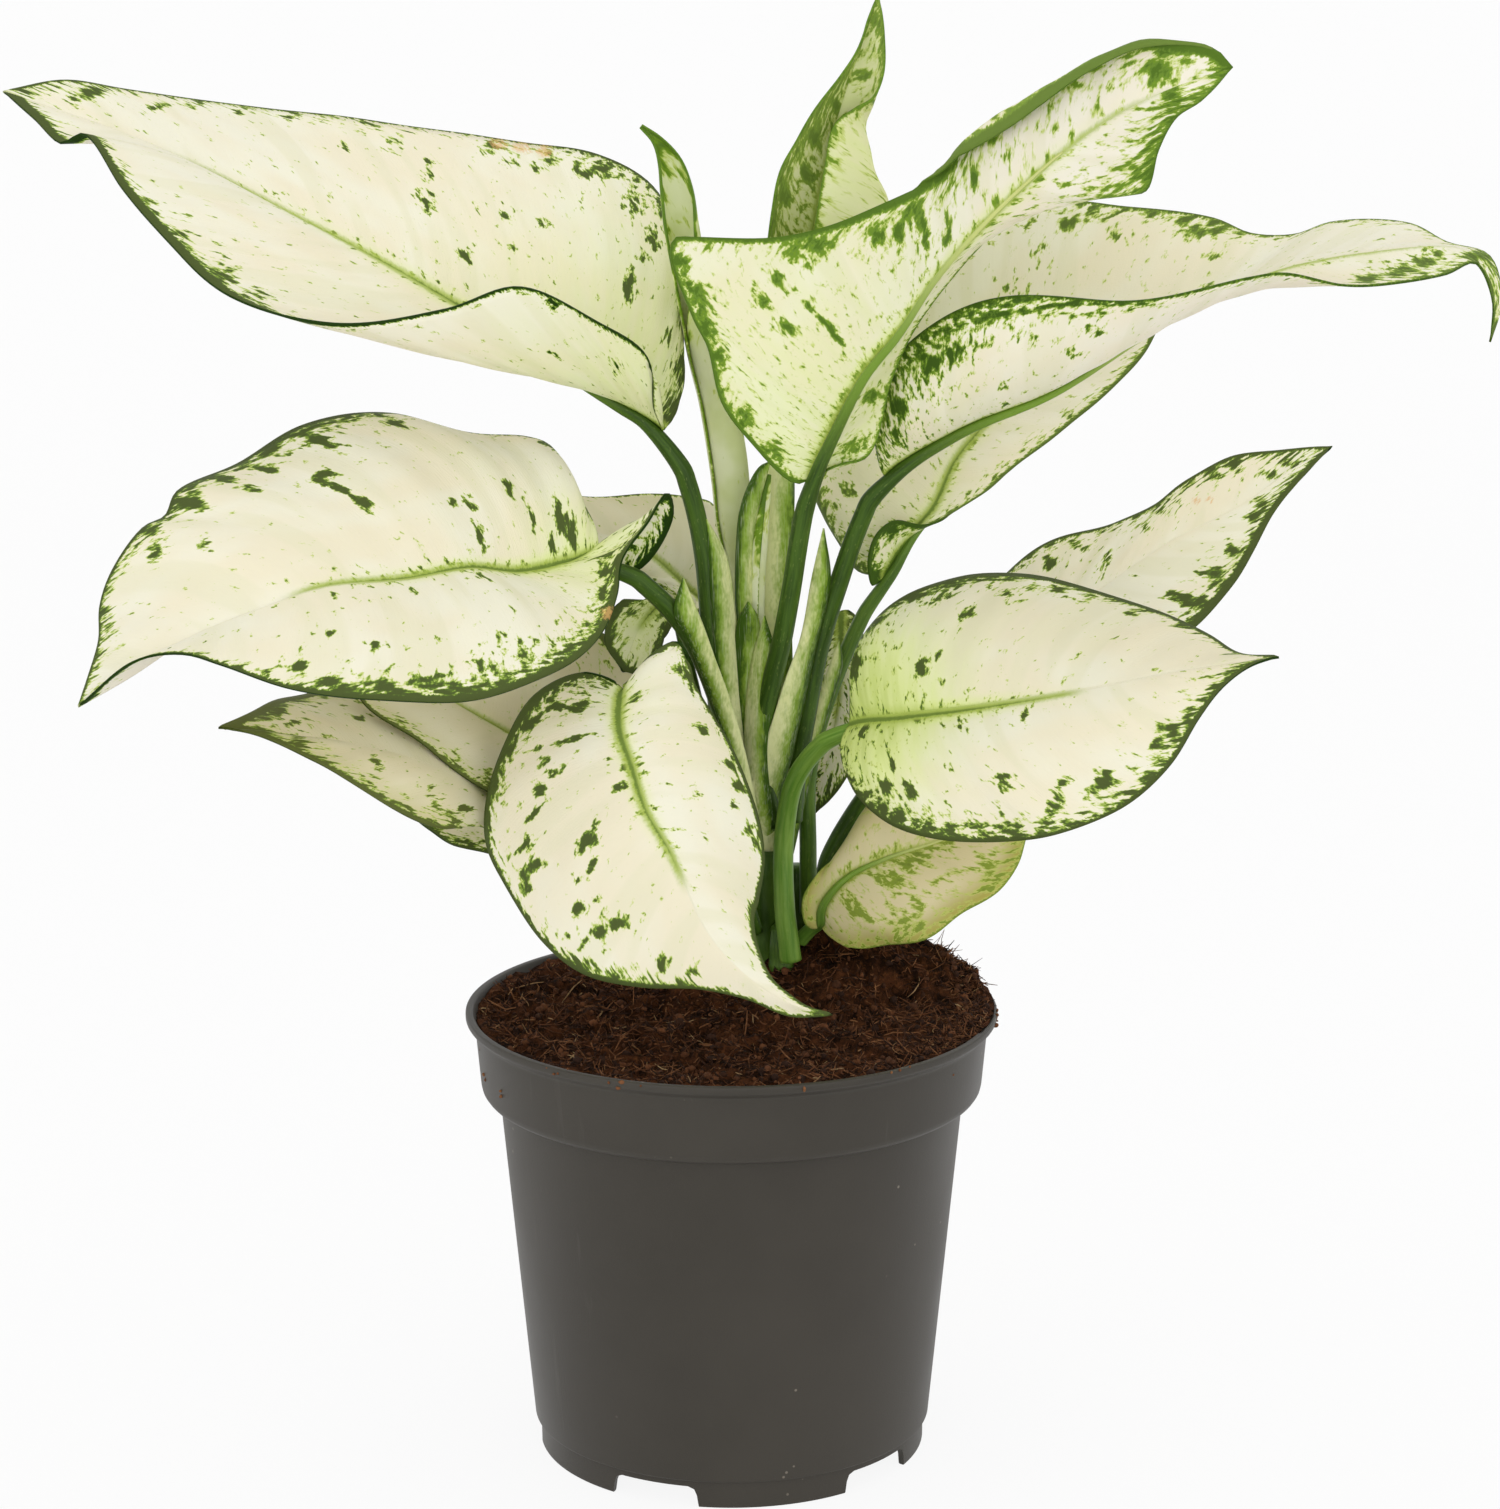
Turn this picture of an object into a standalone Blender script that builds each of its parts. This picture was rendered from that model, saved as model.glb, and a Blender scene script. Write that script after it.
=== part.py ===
"""A potted chinese evergreen: nursery pot, potting soil, four canes and their leaves.

Lengths below are millimetres and angles are degrees. The pot's base is at the origin, +Z is up
and the plant's front looks along -Y.
"""

from math import cos, pi, radians, sin

import bmesh
import bpy
import numpy as np
from mathutils import Vector

MM = 0.001
COLLECTION = "potted_chinese_evergreen"
CLEARANCE = 0.3

# Pot, a 12 cm nursery pot
POT_HEIGHT = 102.8
RIM_RADIUS = 60.0
RIM_DEPTH = 1.6
COLLAR_TOP_RADIUS = 57.9
COLLAR_RADIUS = 56.5
COLLAR_BOTTOM = 84.0
COLLAR_CORNER = 2.2
WALL_TOP_RADIUS = 52.6
WALL_FOOT_RADIUS = 44.9
FOOT_HEIGHT = 6.6
FOOT_RADIUS = 44.1
WALL = 1.2
FLOOR_UNDERSIDE = 5.4
FLOOR_TOP = 6.9
POT_SEGMENTS = 64
NOTCH_COUNT = 5
NOTCH_WIDTH = 20.0
NOTCH_HEIGHT = 4.8
FIRST_NOTCH = -113.0
DRAIN_COUNT = 8
DRAIN_RADIUS = 4.0
DRAIN_CIRCLE = 30.0

# Soil, level at the left of the rim, heaped at the right and around the canes
SOIL_LEVEL = 99.0
SOIL_EDGE_HEIGHT = 97.5
SOIL_GAP = 0.35
SOIL_RINGS = 7
SOIL_SEGMENTS = 64
MOUNDS = [((29, 20), 20, 18.0), ((46, 12), 12, 5.0), ((8, 10), 16, 6.0), ((-10, 28), 24, 4.0)]

# Canes: foot on the axis, height of the top, radius below and at the top, height where it tapers
CANES = {
    "main_cane": dict(axis=(7.5, 18.0), foot=72, shoulder=130, top=150, radius=5.3, tip_radius=2.6),
    "front_shoot": dict(axis=(11.5, 10.0), foot=78, shoulder=114, top=119, radius=2.9, tip_radius=2.4),
    "right_shoot": dict(axis=(15.0, 29.0), foot=74, shoulder=122, top=128, radius=4.0, tip_radius=2.6),
    "left_shoot": dict(axis=(-4.5, 32.0), foot=74, shoulder=122, top=128, radius=4.0, tip_radius=2.6),
}
CANE_SIDES = 16

# Leaf
BLADE_THICKNESS = 0.9
BLADE_ROWS = 15
HALF_COLUMNS = 3
VEIN_BEND = .08       # how much the side veins curve towards the tip, as a share of their length
STALK_POINTS = 12
FURLED_POINTS = 16
STALK_RESOLUTION = 1
KEEL_REACH = 0.16     # share of the midrib that the stalk runs on under the blade

# Every leaf: the cane it grows from and where on it (azimuth, height), the stalk's further points up
# to the blade's base, the rib's further points up to the tip, the margin's points on either side of
# it, how far each half bows towards the upper side, at even stations from the base to the tip, and
# how far back on the rib the side veins start (sweep).
LEAVES = {
    "leaf_upper_left": dict(
        cane="main_cane", azimuth=-165, height=142,
        stalk=[(-1, 14, 155), (-3, 12, 170), (-4.5, 10, 186), (-6, 9, 204), (-8, 8, 215), (-11, 7, 225),
               (-15, 7, 233)],
        rib=[(-29, 6, 242), (-46, 8, 252), (-62, 12, 261), (-77, 16, 269), (-96, 22, 278),
             (-130, 36, 293), (-164, 44, 304)],
        left=[(-17, 0, 240), (-18, -7, 251), (-28, -12, 259), (-45, -18, 268), (-61, -18, 263),
              (-85, -17, 259), (-107, -10, 265), (-121, 0, 275), (-133, 12, 285), (-144, 28, 296),
              (-149, 30, 294), (-156, 36, 299)],
        right=[(-12, 14, 240), (-11, 20, 249), (-14, 28, 268), (-17, 36, 282), (-30, 42, 290),
               (-48, 46, 293), (-87, 50, 297), (-114, 52, 301), (-138, 51, 304), (-151, 49, 306)],
        bow=((0, -.03, -.05, -.03, 0, .05, .02), (.10, .12, .12, .10, .06, .03, 0)), sweep=2.3),
    "leaf_centre_right": dict(
        cane="main_cane", azimuth=-68, height=142,
        stalk=[(7, 10, 153), (7, 8, 164), (8.5, 6, 174), (11, 3, 185), (13.5, -1, 200), (15.5, -5, 214),
               (18, -8, 225)],
        rib=[(28, -17, 248), (36, -23, 259), (44, -31, 272), (58, -42, 289), (75, -54, 305),
             (87, -61, 312), (100, -66, 317)],
        left=[(24, -9, 228), (30, -8, 230), (35, -10, 247), (41, -12, 260), (50, -17, 272),
              (59, -24, 282), (69, -34, 288), (75, -40, 290), (80, -45, 290), (85, -49, 291),
              (87, -54, 300), (90, -59, 307), (95, -64, 311)],
        right=[(14, -10, 224), (5, -8, 232), (-2, -6, 241), (-5, -3, 253), (-8, -2, 259),
               (-13, 0, 273), (-12, 1, 276), (-8, 2, 276), (9, 1, 276), (21, -4, 279),
               (33, -12, 285), (44, -22, 292), (53, -34, 303), (63, -44, 310), (77, -55, 319),
               (84, -60, 322), (96, -66, 321)],
        bow=((.05, .10, .12, .08, .04, 0, 0), (.04, .06, .08, .06, .04, .02, 0)), sweep=1.7),
    "leaf_far_right": dict(
        cane="main_cane", azimuth=-15, height=142,
        stalk=[(14.5, 15, 152), (17, 13.5, 168), (20, 12, 184), (24, 10, 198), (29, 8, 213), (34, 6, 223)],
        rib=[(50, 3, 234), (70, -1, 243), (93, -4, 258), (108, -7, 266), (122, -9, 271),
             (139, -10, 274), (154, -10, 275), (162, -11, 272), (165, -12, 264), (163, -12, 255)],
        left=[(34, 14, 232), (39, 24, 251), (49, 29, 268), (60, 30, 275), (73, 28, 281),
              (88, 26, 280), (107, 22, 278), (115, 19, 275), (124, 17, 275), (132, 14, 278),
              (148, 8, 278), (155, 0, 275), (163, -6, 273), (165, -11, 266)],
        right=[(32, 4, 231), (31, 2, 240), (34, -3, 248), (38, -9, 254), (49, -18, 263),
               (59, -22, 266), (84, -26, 266), (109, -26, 270), (117, -26, 271), (130, -25, 269),
               (142, -22, 269), (152, -18, 270), (159, -14, 272), (163, -13, 264)],
        bow=((-.05, -.12, -.15, -.10, -.05, 0, 0), (-.15, -.20, -.16, -.10, -.04, 0, 0)), sweep=1.6),
    "leaf_left": dict(
        cane="main_cane", azimuth=-118, height=140,
        stalk=[(2, 8, 152), (-1, 5, 166), (-5, 1.5, 179), (-10, -2, 190), (-18, -6, 200), (-29, -10, 208)],
        rib=[(-35, -12, 207), (-46, -18, 206), (-56, -24, 208), (-69, -31, 207), (-86, -40, 207),
             (-97, -46, 204), (-112, -54, 199), (-124, -60, 192), (-134, -66, 187)],
        left=[(-23, -2, 202), (-18, 0, 205), (-13, -1, 215), (-14, -4, 221), (-18, -12, 215),
              (-23, -18, 208), (-24, -24, 202), (-27, -32, 196), (-32, -40, 192), (-40, -48, 189),
              (-54, -57, 186), (-73, -65, 188), (-90, -67, 191), (-104, -67, 196), (-112, -66, 198),
              (-122, -65, 196)],
        right=[(-31, -4, 213), (-37, 6, 223), (-40, 10, 229), (-45, 11, 231), (-56, 12, 232),
               (-76, 10, 236), (-94, 1, 234), (-106, -7, 229), (-119, -19, 224), (-121, -24, 219),
               (-125, -27, 217), (-131, -34, 209), (-133, -40, 203), (-132, -50, 197),
               (-133, -59, 191)],
        bow=((-.10, -.12, .0, .08, .08, .05, .02), (.10, .12, .14, .12, .10, .08, .03)), sweep=1.9),
    "leaf_front": dict(
        cane="main_cane", azimuth=-110, height=117,
        stalk=[(2, 8, 127), (-2, 4, 139), (-9, -3, 158), (-15, -12, 172), (-23, -24, 181)],
        rib=[(-24, -32, 175), (-21, -38, 167), (-18, -43, 159), (-13, -46, 151), (-5, -49, 134),
             (3, -50, 125), (13, -49, 118), (22, -47, 115)],
        left=[(-20, -22, 182), (-15, -20, 186), (-11, -17, 189), (-9, -17, 185), (-8, -19, 181),
              (1, -25, 167), (5, -30, 156), (7, -34, 146), (6, -39, 138), (5, -43, 135),
              (6, -46, 129), (9, -48, 123), (15, -48, 118)],
        right=[(-28, -20, 183), (-34, -16, 183), (-43, -16, 178), (-49, -18, 169), (-53, -22, 158),
               (-53, -26, 148), (-49, -31, 140), (-41, -38, 129), (-32, -42, 123), (-19, -46, 121),
               (-6, -48, 121), (4, -49, 119), (13, -48, 115)],
        bow=((.10, .14, .14, .12, .08, .03, 0), (.10, .14, .16, .14, .08, .04, 0)), sweep=1.9),
    "leaf_upright": dict(
        cane="main_cane", azimuth=37, height=144,
        stalk=[(12, 22, 165), (11.5, 22, 185), (11.5, 22, 205), (12, 22, 228)],
        rib=[(14, 22.5, 246), (16, 22.5, 262), (18, 22, 275), (21, 20.5, 291), (25, 18, 306),
             (29, 14.5, 318), (32, 12, 327)],
        left=[(9, 19, 233), (6.5, 16, 245), (6.5, 14, 258), (8, 14, 270), (9, 14, 280), (11, 13, 289),
              (15, 12, 296), (19, 12, 303), (24, 12, 310), (28, 12, 316)],
        right=[(14, 19, 234), (16, 15, 247), (17, 14, 262), (18.5, 14, 278), (20.5, 14, 290),
               (22.5, 14, 299), (27, 13, 302.5), (31, 12, 305), (33, 12, 310), (33, 12, 319)],
        bow=((-.2, -.2, -.15, -.1, -.05, 0), (-.5, -.9, -1.1, -1.1, -.3, 0)), sweep=1.4),
    "leaf_right_front": dict(
        cane="front_shoot", azimuth=-70, height=112,
        stalk=[(12, 5, 125), (12, 7, 141), (15, 3, 156), (26, -6, 169)],
        rib=[(37, -12, 172), (50, -18, 175), (65, -25, 179), (79, -31, 183), (96, -37, 188),
             (116, -41, 192)],
        left=[(30, 0, 174), (30, 6, 181), (32, 10, 189), (39, 12, 195), (51, 12, 199), (62, 9, 200),
              (73, 3, 200), (90, -10, 197), (103, -24, 193), (109, -34, 191)],
        right=[(25, -12, 163), (27, -18, 157), (34, -25, 152), (45, -32, 150), (59, -38, 151),
               (70, -43, 154), (84, -46, 161), (93, -47, 170), (99, -46, 180), (104, -44, 186),
               (110, -42, 190)],
        bow=((.12, .14, .14, .12, .08, .03), (.12, .14, .14, .12, .08, .03)), sweep=1.9),
    "leaf_right_back": dict(
        cane="right_shoot", azimuth=-10, height=117,
        stalk=[(22, 29, 127), (27, 32, 137), (37, 37, 150), (53, 40, 167)],
        rib=[(69, 44, 178), (86, 49, 189), (102, 54, 199), (119, 58, 207), (131, 61, 215),
             (141, 65, 220)],
        left=[(51, 48, 175), (55, 54, 183), (65, 58, 191), (77, 60, 199), (90, 60, 203),
              (100, 60, 207), (107, 61, 213), (117, 63, 218), (129, 65, 219)],
        right=[(60, 36, 165), (76, 36, 165), (92, 40, 172), (108, 46, 181), (117, 50, 190),
               (122, 53, 198), (127, 57, 206), (134, 60, 214)],
        bow=((.05, .06, .05, .02, 0), (.05, .08, .08, .05, 0)), sweep=1.9),
    "leaf_behind_right": dict(
        cane="right_shoot", azimuth=-65, height=118,
        stalk=[(17.5, 21.5, 135), (17.5, 21.5, 150), (19.5, 22, 161), (26.5, 25, 180), (35, 30, 196)],
        rib=[(40, 31, 204), (46, 33, 211), (51, 37, 221), (58, 40, 229), (71, 45, 240), (87, 51, 249),
             (101, 54, 256)],
        left=[(29, 36, 196), (25, 40, 201), (21, 44, 207), (19, 47, 213), (21, 50, 219),
              (27, 54, 230), (46, 57, 244), (64, 58, 253), (83, 57, 257)],
        right=[(32, 27, 194), (31, 26, 200), (33, 26, 206), (37, 27, 209), (44, 29, 208),
               (55, 33, 213), (63, 36, 219), (71, 39, 224), (79, 43, 230), (88, 47, 237),
               (95, 50, 244)],
        bow=((.05, .08, .08, .05, 0), (.05, .08, .08, .05, 0)), sweep=1.8),
    "leaf_behind_stems": dict(
        cane="right_shoot", azimuth=60, height=118,
        stalk=[(18, 37, 141), (20, 41, 159), (23, 44, 176), (25, 42, 185)],
        rib=[(25, 36, 175), (24, 34, 161), (21, 34, 147), (17, 37, 136)],
        left=[(28, 42, 185), (31, 38, 179), (33, 34, 169), (31, 32, 157), (24, 33, 144)],
        right=[(22, 42, 183), (19, 38, 174), (17, 36, 163), (17, 36, 151), (16, 37, 141)],
        bow=((.08, .10, .05), (.08, .10, .05)), sweep=1.7),
    "leaf_on_soil": dict(
        cane="front_shoot", azimuth=-30, height=116,
        stalk=[(18, 6, 119), (20, 4, 121)],
        rib=[(21, 2, 126), (26, 2, 132), (35, 4, 136), (47, 8, 139), (59, 13, 143), (69, 18, 147)],
        left=[(27, -2, 117), (35, -4, 118), (44, -4, 120), (52, -2, 125), (60, 2, 129), (65, 7, 134),
              (67, 12, 139)],
        right=[(17, 2, 121), (16, 2, 127), (20, 4, 133), (26, 8, 138), (31, 13, 145), (40, 18, 149),
               (52, 22, 151), (64, 21, 150)],
        bow=((-.06, -.10, -.12, -.08, 0), (-.25, -.30, -.25, -.15, 0)), sweep=1.7),
    "leaf_low_left": dict(
        cane="left_shoot", azimuth=-165, height=113,
        stalk=[(-16, 22, 122), (-24, 11, 132), (-35, -4, 140)],
        rib=[(-51, -12, 153), (-65, -22, 164), (-82, -31, 171), (-96, -36, 174), (-109, -38, 176)],
        left=[(-39, -10, 138), (-46, -16, 144), (-53, -21, 149), (-66, -31, 153), (-77, -36, 161),
              (-89, -39, 169), (-99, -39, 174)],
        right=[(-38, 4, 147), (-50, 8, 158), (-63, 6, 168), (-78, 0, 176), (-88, -8, 178),
               (-97, -18, 178), (-103, -30, 177)],
        bow=((.06, .10, .08, .04), (.06, .10, .08, .04)), sweep=1.8),
    "leaf_low_left_middle": dict(
        cane="left_shoot", azimuth=-105, height=120,
        stalk=[(-11, 23, 134), (-17, 21, 142), (-25, 16, 147)],
        rib=[(-39, 10, 157), (-50, 4, 165), (-60, 0, 172), (-73, -5, 181), (-87, -9, 189)],
        left=[(-29, 3, 143), (-43, -10, 148), (-54, -16, 157), (-66, -20, 167), (-79, -20, 177),
              (-84, -15, 184)],
        right=[(-19, 24, 159), (-20, 24, 172), (-23, 22, 179), (-29, 20, 185), (-39, 17, 190),
               (-52, 14, 192), (-69, 6, 193)],
        bow=((.06, .10, .08, .04), (.06, .10, .08, .04)), sweep=1.8),
    "leaf_low_left_back": dict(
        cane="left_shoot", azimuth=145, height=115,
        stalk=[(-16, 32, 123), (-28, 26, 132)],
        rib=[(-44, 20, 139), (-59, 14, 144), (-75, 8, 151), (-85, 4, 157)],
        left=[(-32, 14, 128), (-46, 8, 133), (-55, 6, 137), (-63, 4, 139), (-68, 3, 143),
              (-75, 2, 150)],
        right=[(-31, 34, 139), (-44, 32, 149), (-60, 26, 154), (-75, 14, 158)],
        bow=((.06, .10, .08, .04), (.06, .10, .08, .04)), sweep=1.8),
    "leaf_behind_left": dict(
        cane="left_shoot", azimuth=60, height=118,
        stalk=[(0, 39, 142), (1, 42, 160), (-1, 44, 173), (-5, 44, 185)],
        rib=[(-10, 42, 190), (-17, 37, 198), (-25, 31, 204), (-39, 24, 208), (-58, 16, 209)],
        left=[(-7, 40, 185), (-14, 36, 189), (-21, 32, 195), (-30, 26, 197), (-43, 18, 202)],
        right=[(-2, 50, 196), (-4, 50, 209), (-10, 48, 211), (-21, 44, 212), (-32, 38, 213),
               (-46, 28, 213)],
        bow=((.06, .10, .08, .04), (.08, .12, .10, .04)), sweep=1.8),
    "leaf_small_left": dict(
        cane="left_shoot", azimuth=-45, height=120,
        stalk=[(-3, 25, 140), (-6, 20, 160), (-10, 14, 180), (-14, 10, 194)],
        rib=[(-18, 6, 192), (-21, 3, 188), (-24, 0, 180)],
        left=[(-14, 6, 189), (-16, 4, 183), (-19, 2, 179)],
        right=[(-20, 6, 195), (-26, 2, 194), (-28, 0, 187)],
        bow=((.08, .10, .05), (.08, .10, .05)), sweep=1.6),
}
STALK_RADII = {"leaf_small_left": (1.6, 1.2), "leaf_behind_stems": (1.7, 1.3), "leaf_on_soil": (1.8, 1.5),
               "leaf_low_left_back": (1.8, 1.4), "leaf_behind_right": (2.1, 1.7)}
USUAL_STALK_RADII = (2.5, 2.1)

# Young leaves still rolled up: the cane and place, the further points with the radius there
FURLED = {
    "leaf_small_furled": dict(
        cane="main_cane", azimuth=100, height=144, foot_radius=2.2,
        path=[(5, 24, 160, 2.3), (3, 23, 178, 2.5), (3, 22, 190, 2.8), (2, 22, 200, 3.3),
              (0.5, 22, 210, 3.9), (0, 21.5, 219, 4.3), (-1, 21, 227, 4.4), (-3, 20, 238, 4.2),
              (-5.5, 18, 248, 4), (-9, 14, 268, 4), (-10.5, 12.5, 277, 4.1), (-11.5, 12, 285, 3.9),
              (-13, 12, 291, 2.9), (-16, 12, 296, 1.2), (-19.5, 12, 299, .4)]),
    "spear_bud": dict(
        cane="main_cane", azimuth=None, height=150, foot_radius=2.2,
        path=[(7, 17, 160, 2.2), (6, 15, 173, 2.2), (5.8, 13.5, 187, 1.6), (6, 13, 200, 1.7),
              (7, 13, 212, 1.5), (8.3, 13, 222, .5)]),
}

COLOURS = {
    "pot": (.075, .070, .064, 1), "soil": (.06, .028, .014, 1), "cane": (.07, .16, .04, 1),
    "leaf": (.80, .78, .58, 1), "furled": (.45, .55, .25, 1),
}
ROUGHNESS = {"pot": .45, "soil": .95, "cane": .45, "leaf": .4, "furled": .45}


# ---------------------------------------------------------------- curves and surfaces

def unit(vectors):
    return vectors / np.maximum(np.linalg.norm(vectors, axis=-1, keepdims=True), 1e-9)


def smooth_path(points, count):
    """Points at even steps on a smooth curve through the given points (centripetal Catmull-Rom)."""
    points = np.asarray(points, float)
    points = np.vstack([2 * points[0] - points[1], points, 2 * points[-1] - points[-2]])
    dense = []
    for before, start, end, after in zip(points, points[1:], points[2:], points[3:]):
        k1 = max(np.linalg.norm(start - before) ** .5, 1e-6)
        k2 = k1 + max(np.linalg.norm(end - start) ** .5, 1e-6)
        k3 = k2 + max(np.linalg.norm(after - end) ** .5, 1e-6)
        for k in np.linspace(k1, k2, 24, endpoint=False):
            a1 = (k1 - k) / k1 * before + k / k1 * start
            a2 = (k2 - k) / (k2 - k1) * start + (k - k1) / (k2 - k1) * end
            a3 = (k3 - k) / (k3 - k2) * end + (k - k2) / (k3 - k2) * after
            b1 = (k2 - k) / k2 * a1 + k / k2 * a2
            b2 = (k3 - k) / (k3 - k1) * a2 + (k - k1) / (k3 - k1) * a3
            dense.append((k2 - k) / (k2 - k1) * b1 + (k - k1) / (k2 - k1) * b2)
    dense.append(points[-2])
    dense = np.array(dense)
    travelled = np.r_[0, np.cumsum(np.linalg.norm(np.diff(dense, axis=0), axis=1))]
    steps = np.linspace(0, travelled[-1], count)
    return np.stack([np.interp(steps, travelled, dense[:, axis]) for axis in range(dense.shape[1])], -1)


def blend(values, share):
    """Values given at even stations, read smoothly at a share of the way (0 to 1)."""
    values = np.asarray(values, float)
    values = np.r_[2 * values[0] - values[1], values, 2 * values[-1] - values[-2]]
    place = np.clip(share, 0, 1) * (len(values) - 3)
    cell = np.minimum(np.asarray(place).astype(int), len(values) - 4)
    f = place - cell
    v0, v1, v2, v3 = (values[cell + k] for k in range(4))
    return .5 * (2 * v1 + (v2 - v0) * f + (2 * v0 - 5 * v1 + 4 * v2 - v3) * f ** 2
                 + (3 * v1 - v0 - 3 * v2 + v3) * f ** 3)


def read(stations, share):
    """Points given at even stations, read at a share of the way."""
    places = np.linspace(0, 1, len(stations))
    return np.stack([np.interp(share, places, stations[:, axis]) for axis in range(3)], -1)


class LeafShape:
    """A leaf's stalk and rib, and the curved surface that its blade follows."""

    def __init__(self, spec):
        self.spec = spec
        base = np.array(spec["stalk"][-1], float)
        whole = smooth_path([seat(spec)] + spec["stalk"] + spec["rib"], 1200)
        split = int(np.argmin(np.linalg.norm(whole - base, axis=1)))
        self.stalk = whole[:split + 1]
        travelled = np.r_[0, np.cumsum(np.linalg.norm(np.diff(whole[split:], axis=0), axis=1))]
        self.length = travelled[-1]
        self.rib = np.stack([np.interp(np.linspace(0, self.length, 161), travelled, whole[split:, axis])
                             for axis in range(3)], -1)
        self.along = unit(np.gradient(self.rib, axis=0))
        self.margins = [smooth_path([base] + spec[side] + [spec["rib"][-1]], 401)
                        for side in ("left", "right")]

    def row(self, step, side, reach):
        """Points on one side vein, from the rib (reach 0) to the margin (reach 1)."""
        index = 0 if side < 0 else 1
        share = step ** self.spec["sweep"]
        start, end = read(self.rib, share), read(self.margins[index], step)
        along = unit(read(self.along, share))
        chord = end - start
        span = np.linalg.norm(chord)
        upward = side * unit(np.cross(chord, along))
        bow = blend(self.spec["bow"][index], step)
        middle = (start + end) / 2 + upward * 2 * bow * span - along * 2 * VEIN_BEND * span
        reach = np.asarray(reach, float)[:, None]
        return (1 - reach) ** 2 * start + 2 * reach * (1 - reach) * middle + reach ** 2 * end


def rib_upward(shape, share):
    """The upper side's direction at the rib."""
    step = max(share, .004) ** (1 / shape.spec["sweep"])
    along = unit(read(shape.along, share))
    left = shape.row(step, -1, [0, .1])
    right = shape.row(step, 1, [0, .1])
    upper = (unit(np.cross(along, left[1] - left[0])) + unit(np.cross(right[1] - right[0], along)))
    return unit(upper)


def cane_radius(cane, height):
    cane = CANES[cane]
    return float(np.interp(height, [cane["shoulder"], cane["top"]], [cane["radius"], cane["tip_radius"]]))


def seat(spec):
    """The foot of a stalk: beside its cane, or on the cane's top where it has no azimuth."""
    x, y = CANES[spec["cane"]]["axis"]
    height = spec["height"]
    if spec["azimuth"] is None:
        return (x, y, height + CLEARANCE)
    reach = cane_radius(spec["cane"], height) + spec["foot_radius"] + CLEARANCE
    return (x + reach * cos(radians(spec["azimuth"])), y + reach * sin(radians(spec["azimuth"])), height)


# ---------------------------------------------------------------- Blender helpers

def clear_scene():
    for item in list(bpy.data.objects):
        bpy.data.objects.remove(item, do_unlink=True)
    parts = bpy.data.collections.new(COLLECTION)
    helpers = bpy.data.collections.new("helpers")
    bpy.context.scene.collection.children.link(parts)
    bpy.context.scene.collection.children.link(helpers)
    return parts, helpers


def material(name, kind):
    result = bpy.data.materials.new(name)
    result.use_nodes = True
    shader = result.node_tree.nodes["Principled BSDF"]
    shader.inputs["Base Color"].default_value = COLOURS[kind]
    shader.inputs["Roughness"].default_value = ROUGHNESS[kind]
    shader.inputs["Metallic"].default_value = 0
    return result


def add_object(name, data, collection, kind=None, location=(0, 0, 0)):
    item = bpy.data.objects.new(name, data)
    item.location = location
    collection.objects.link(item)
    if kind:
        data.materials.append(material(name + "_material", kind))
    return item


def helper(item):
    item.hide_render = True
    item.display_type = "WIRE"
    return item


def mesh_from(vertices, faces, name):
    data = bpy.data.meshes.new(name)
    data.from_pydata([Vector(v) * MM for v in vertices], [], faces)
    data.validate()
    return data


def tube_mesh(path, radii, resolution, name):
    """A closed mesh tube along a path (mm), as a bevelled curve with filled caps."""
    curve = bpy.data.curves.new(name, "CURVE")
    curve.dimensions = "3D"
    curve.bevel_depth = MM
    curve.bevel_resolution = resolution
    curve.use_fill_caps = True
    spline = curve.splines.new("POLY")
    spline.points.add(len(path) - 1)
    for point, place, radius in zip(spline.points, path, radii):
        point.co = (*(Vector(place) * MM), 1)
        point.radius = radius
    rod = bpy.data.objects.new(name, curve)
    bpy.context.scene.collection.objects.link(rod)
    evaluated = rod.evaluated_get(bpy.context.evaluated_depsgraph_get())
    data = bpy.data.meshes.new_from_object(evaluated)
    bpy.data.objects.remove(rod, do_unlink=True)
    shape = bmesh.new()
    shape.from_mesh(data)
    bmesh.ops.remove_doubles(shape, verts=shape.verts, dist=1e-6)
    bmesh.ops.recalc_face_normals(shape, faces=shape.faces)
    shape.to_mesh(data)
    shape.free()
    return data


def cut(item, cutter, operation="DIFFERENCE"):
    modifier = item.modifiers.new(operation.lower() + "_" + cutter.name, "BOOLEAN")
    modifier.operation = operation
    modifier.object = cutter
    modifier.solver = "MANIFOLD" if operation == "UNION" else "EXACT"


# ---------------------------------------------------------------- pot and soil

def inner_wall_radius(height):
    """Inside radius of the pot at a height, collar included."""
    heights = [FLOOR_TOP, COLLAR_BOTTOM - WALL, COLLAR_BOTTOM + WALL, POT_HEIGHT - 2 * RIM_DEPTH, POT_HEIGHT]
    radii = [WALL_FOOT_RADIUS - WALL, WALL_TOP_RADIUS - WALL, COLLAR_RADIUS - WALL,
             COLLAR_TOP_RADIUS - WALL, RIM_RADIUS - WALL]
    return float(np.interp(height, heights, radii))


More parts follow.
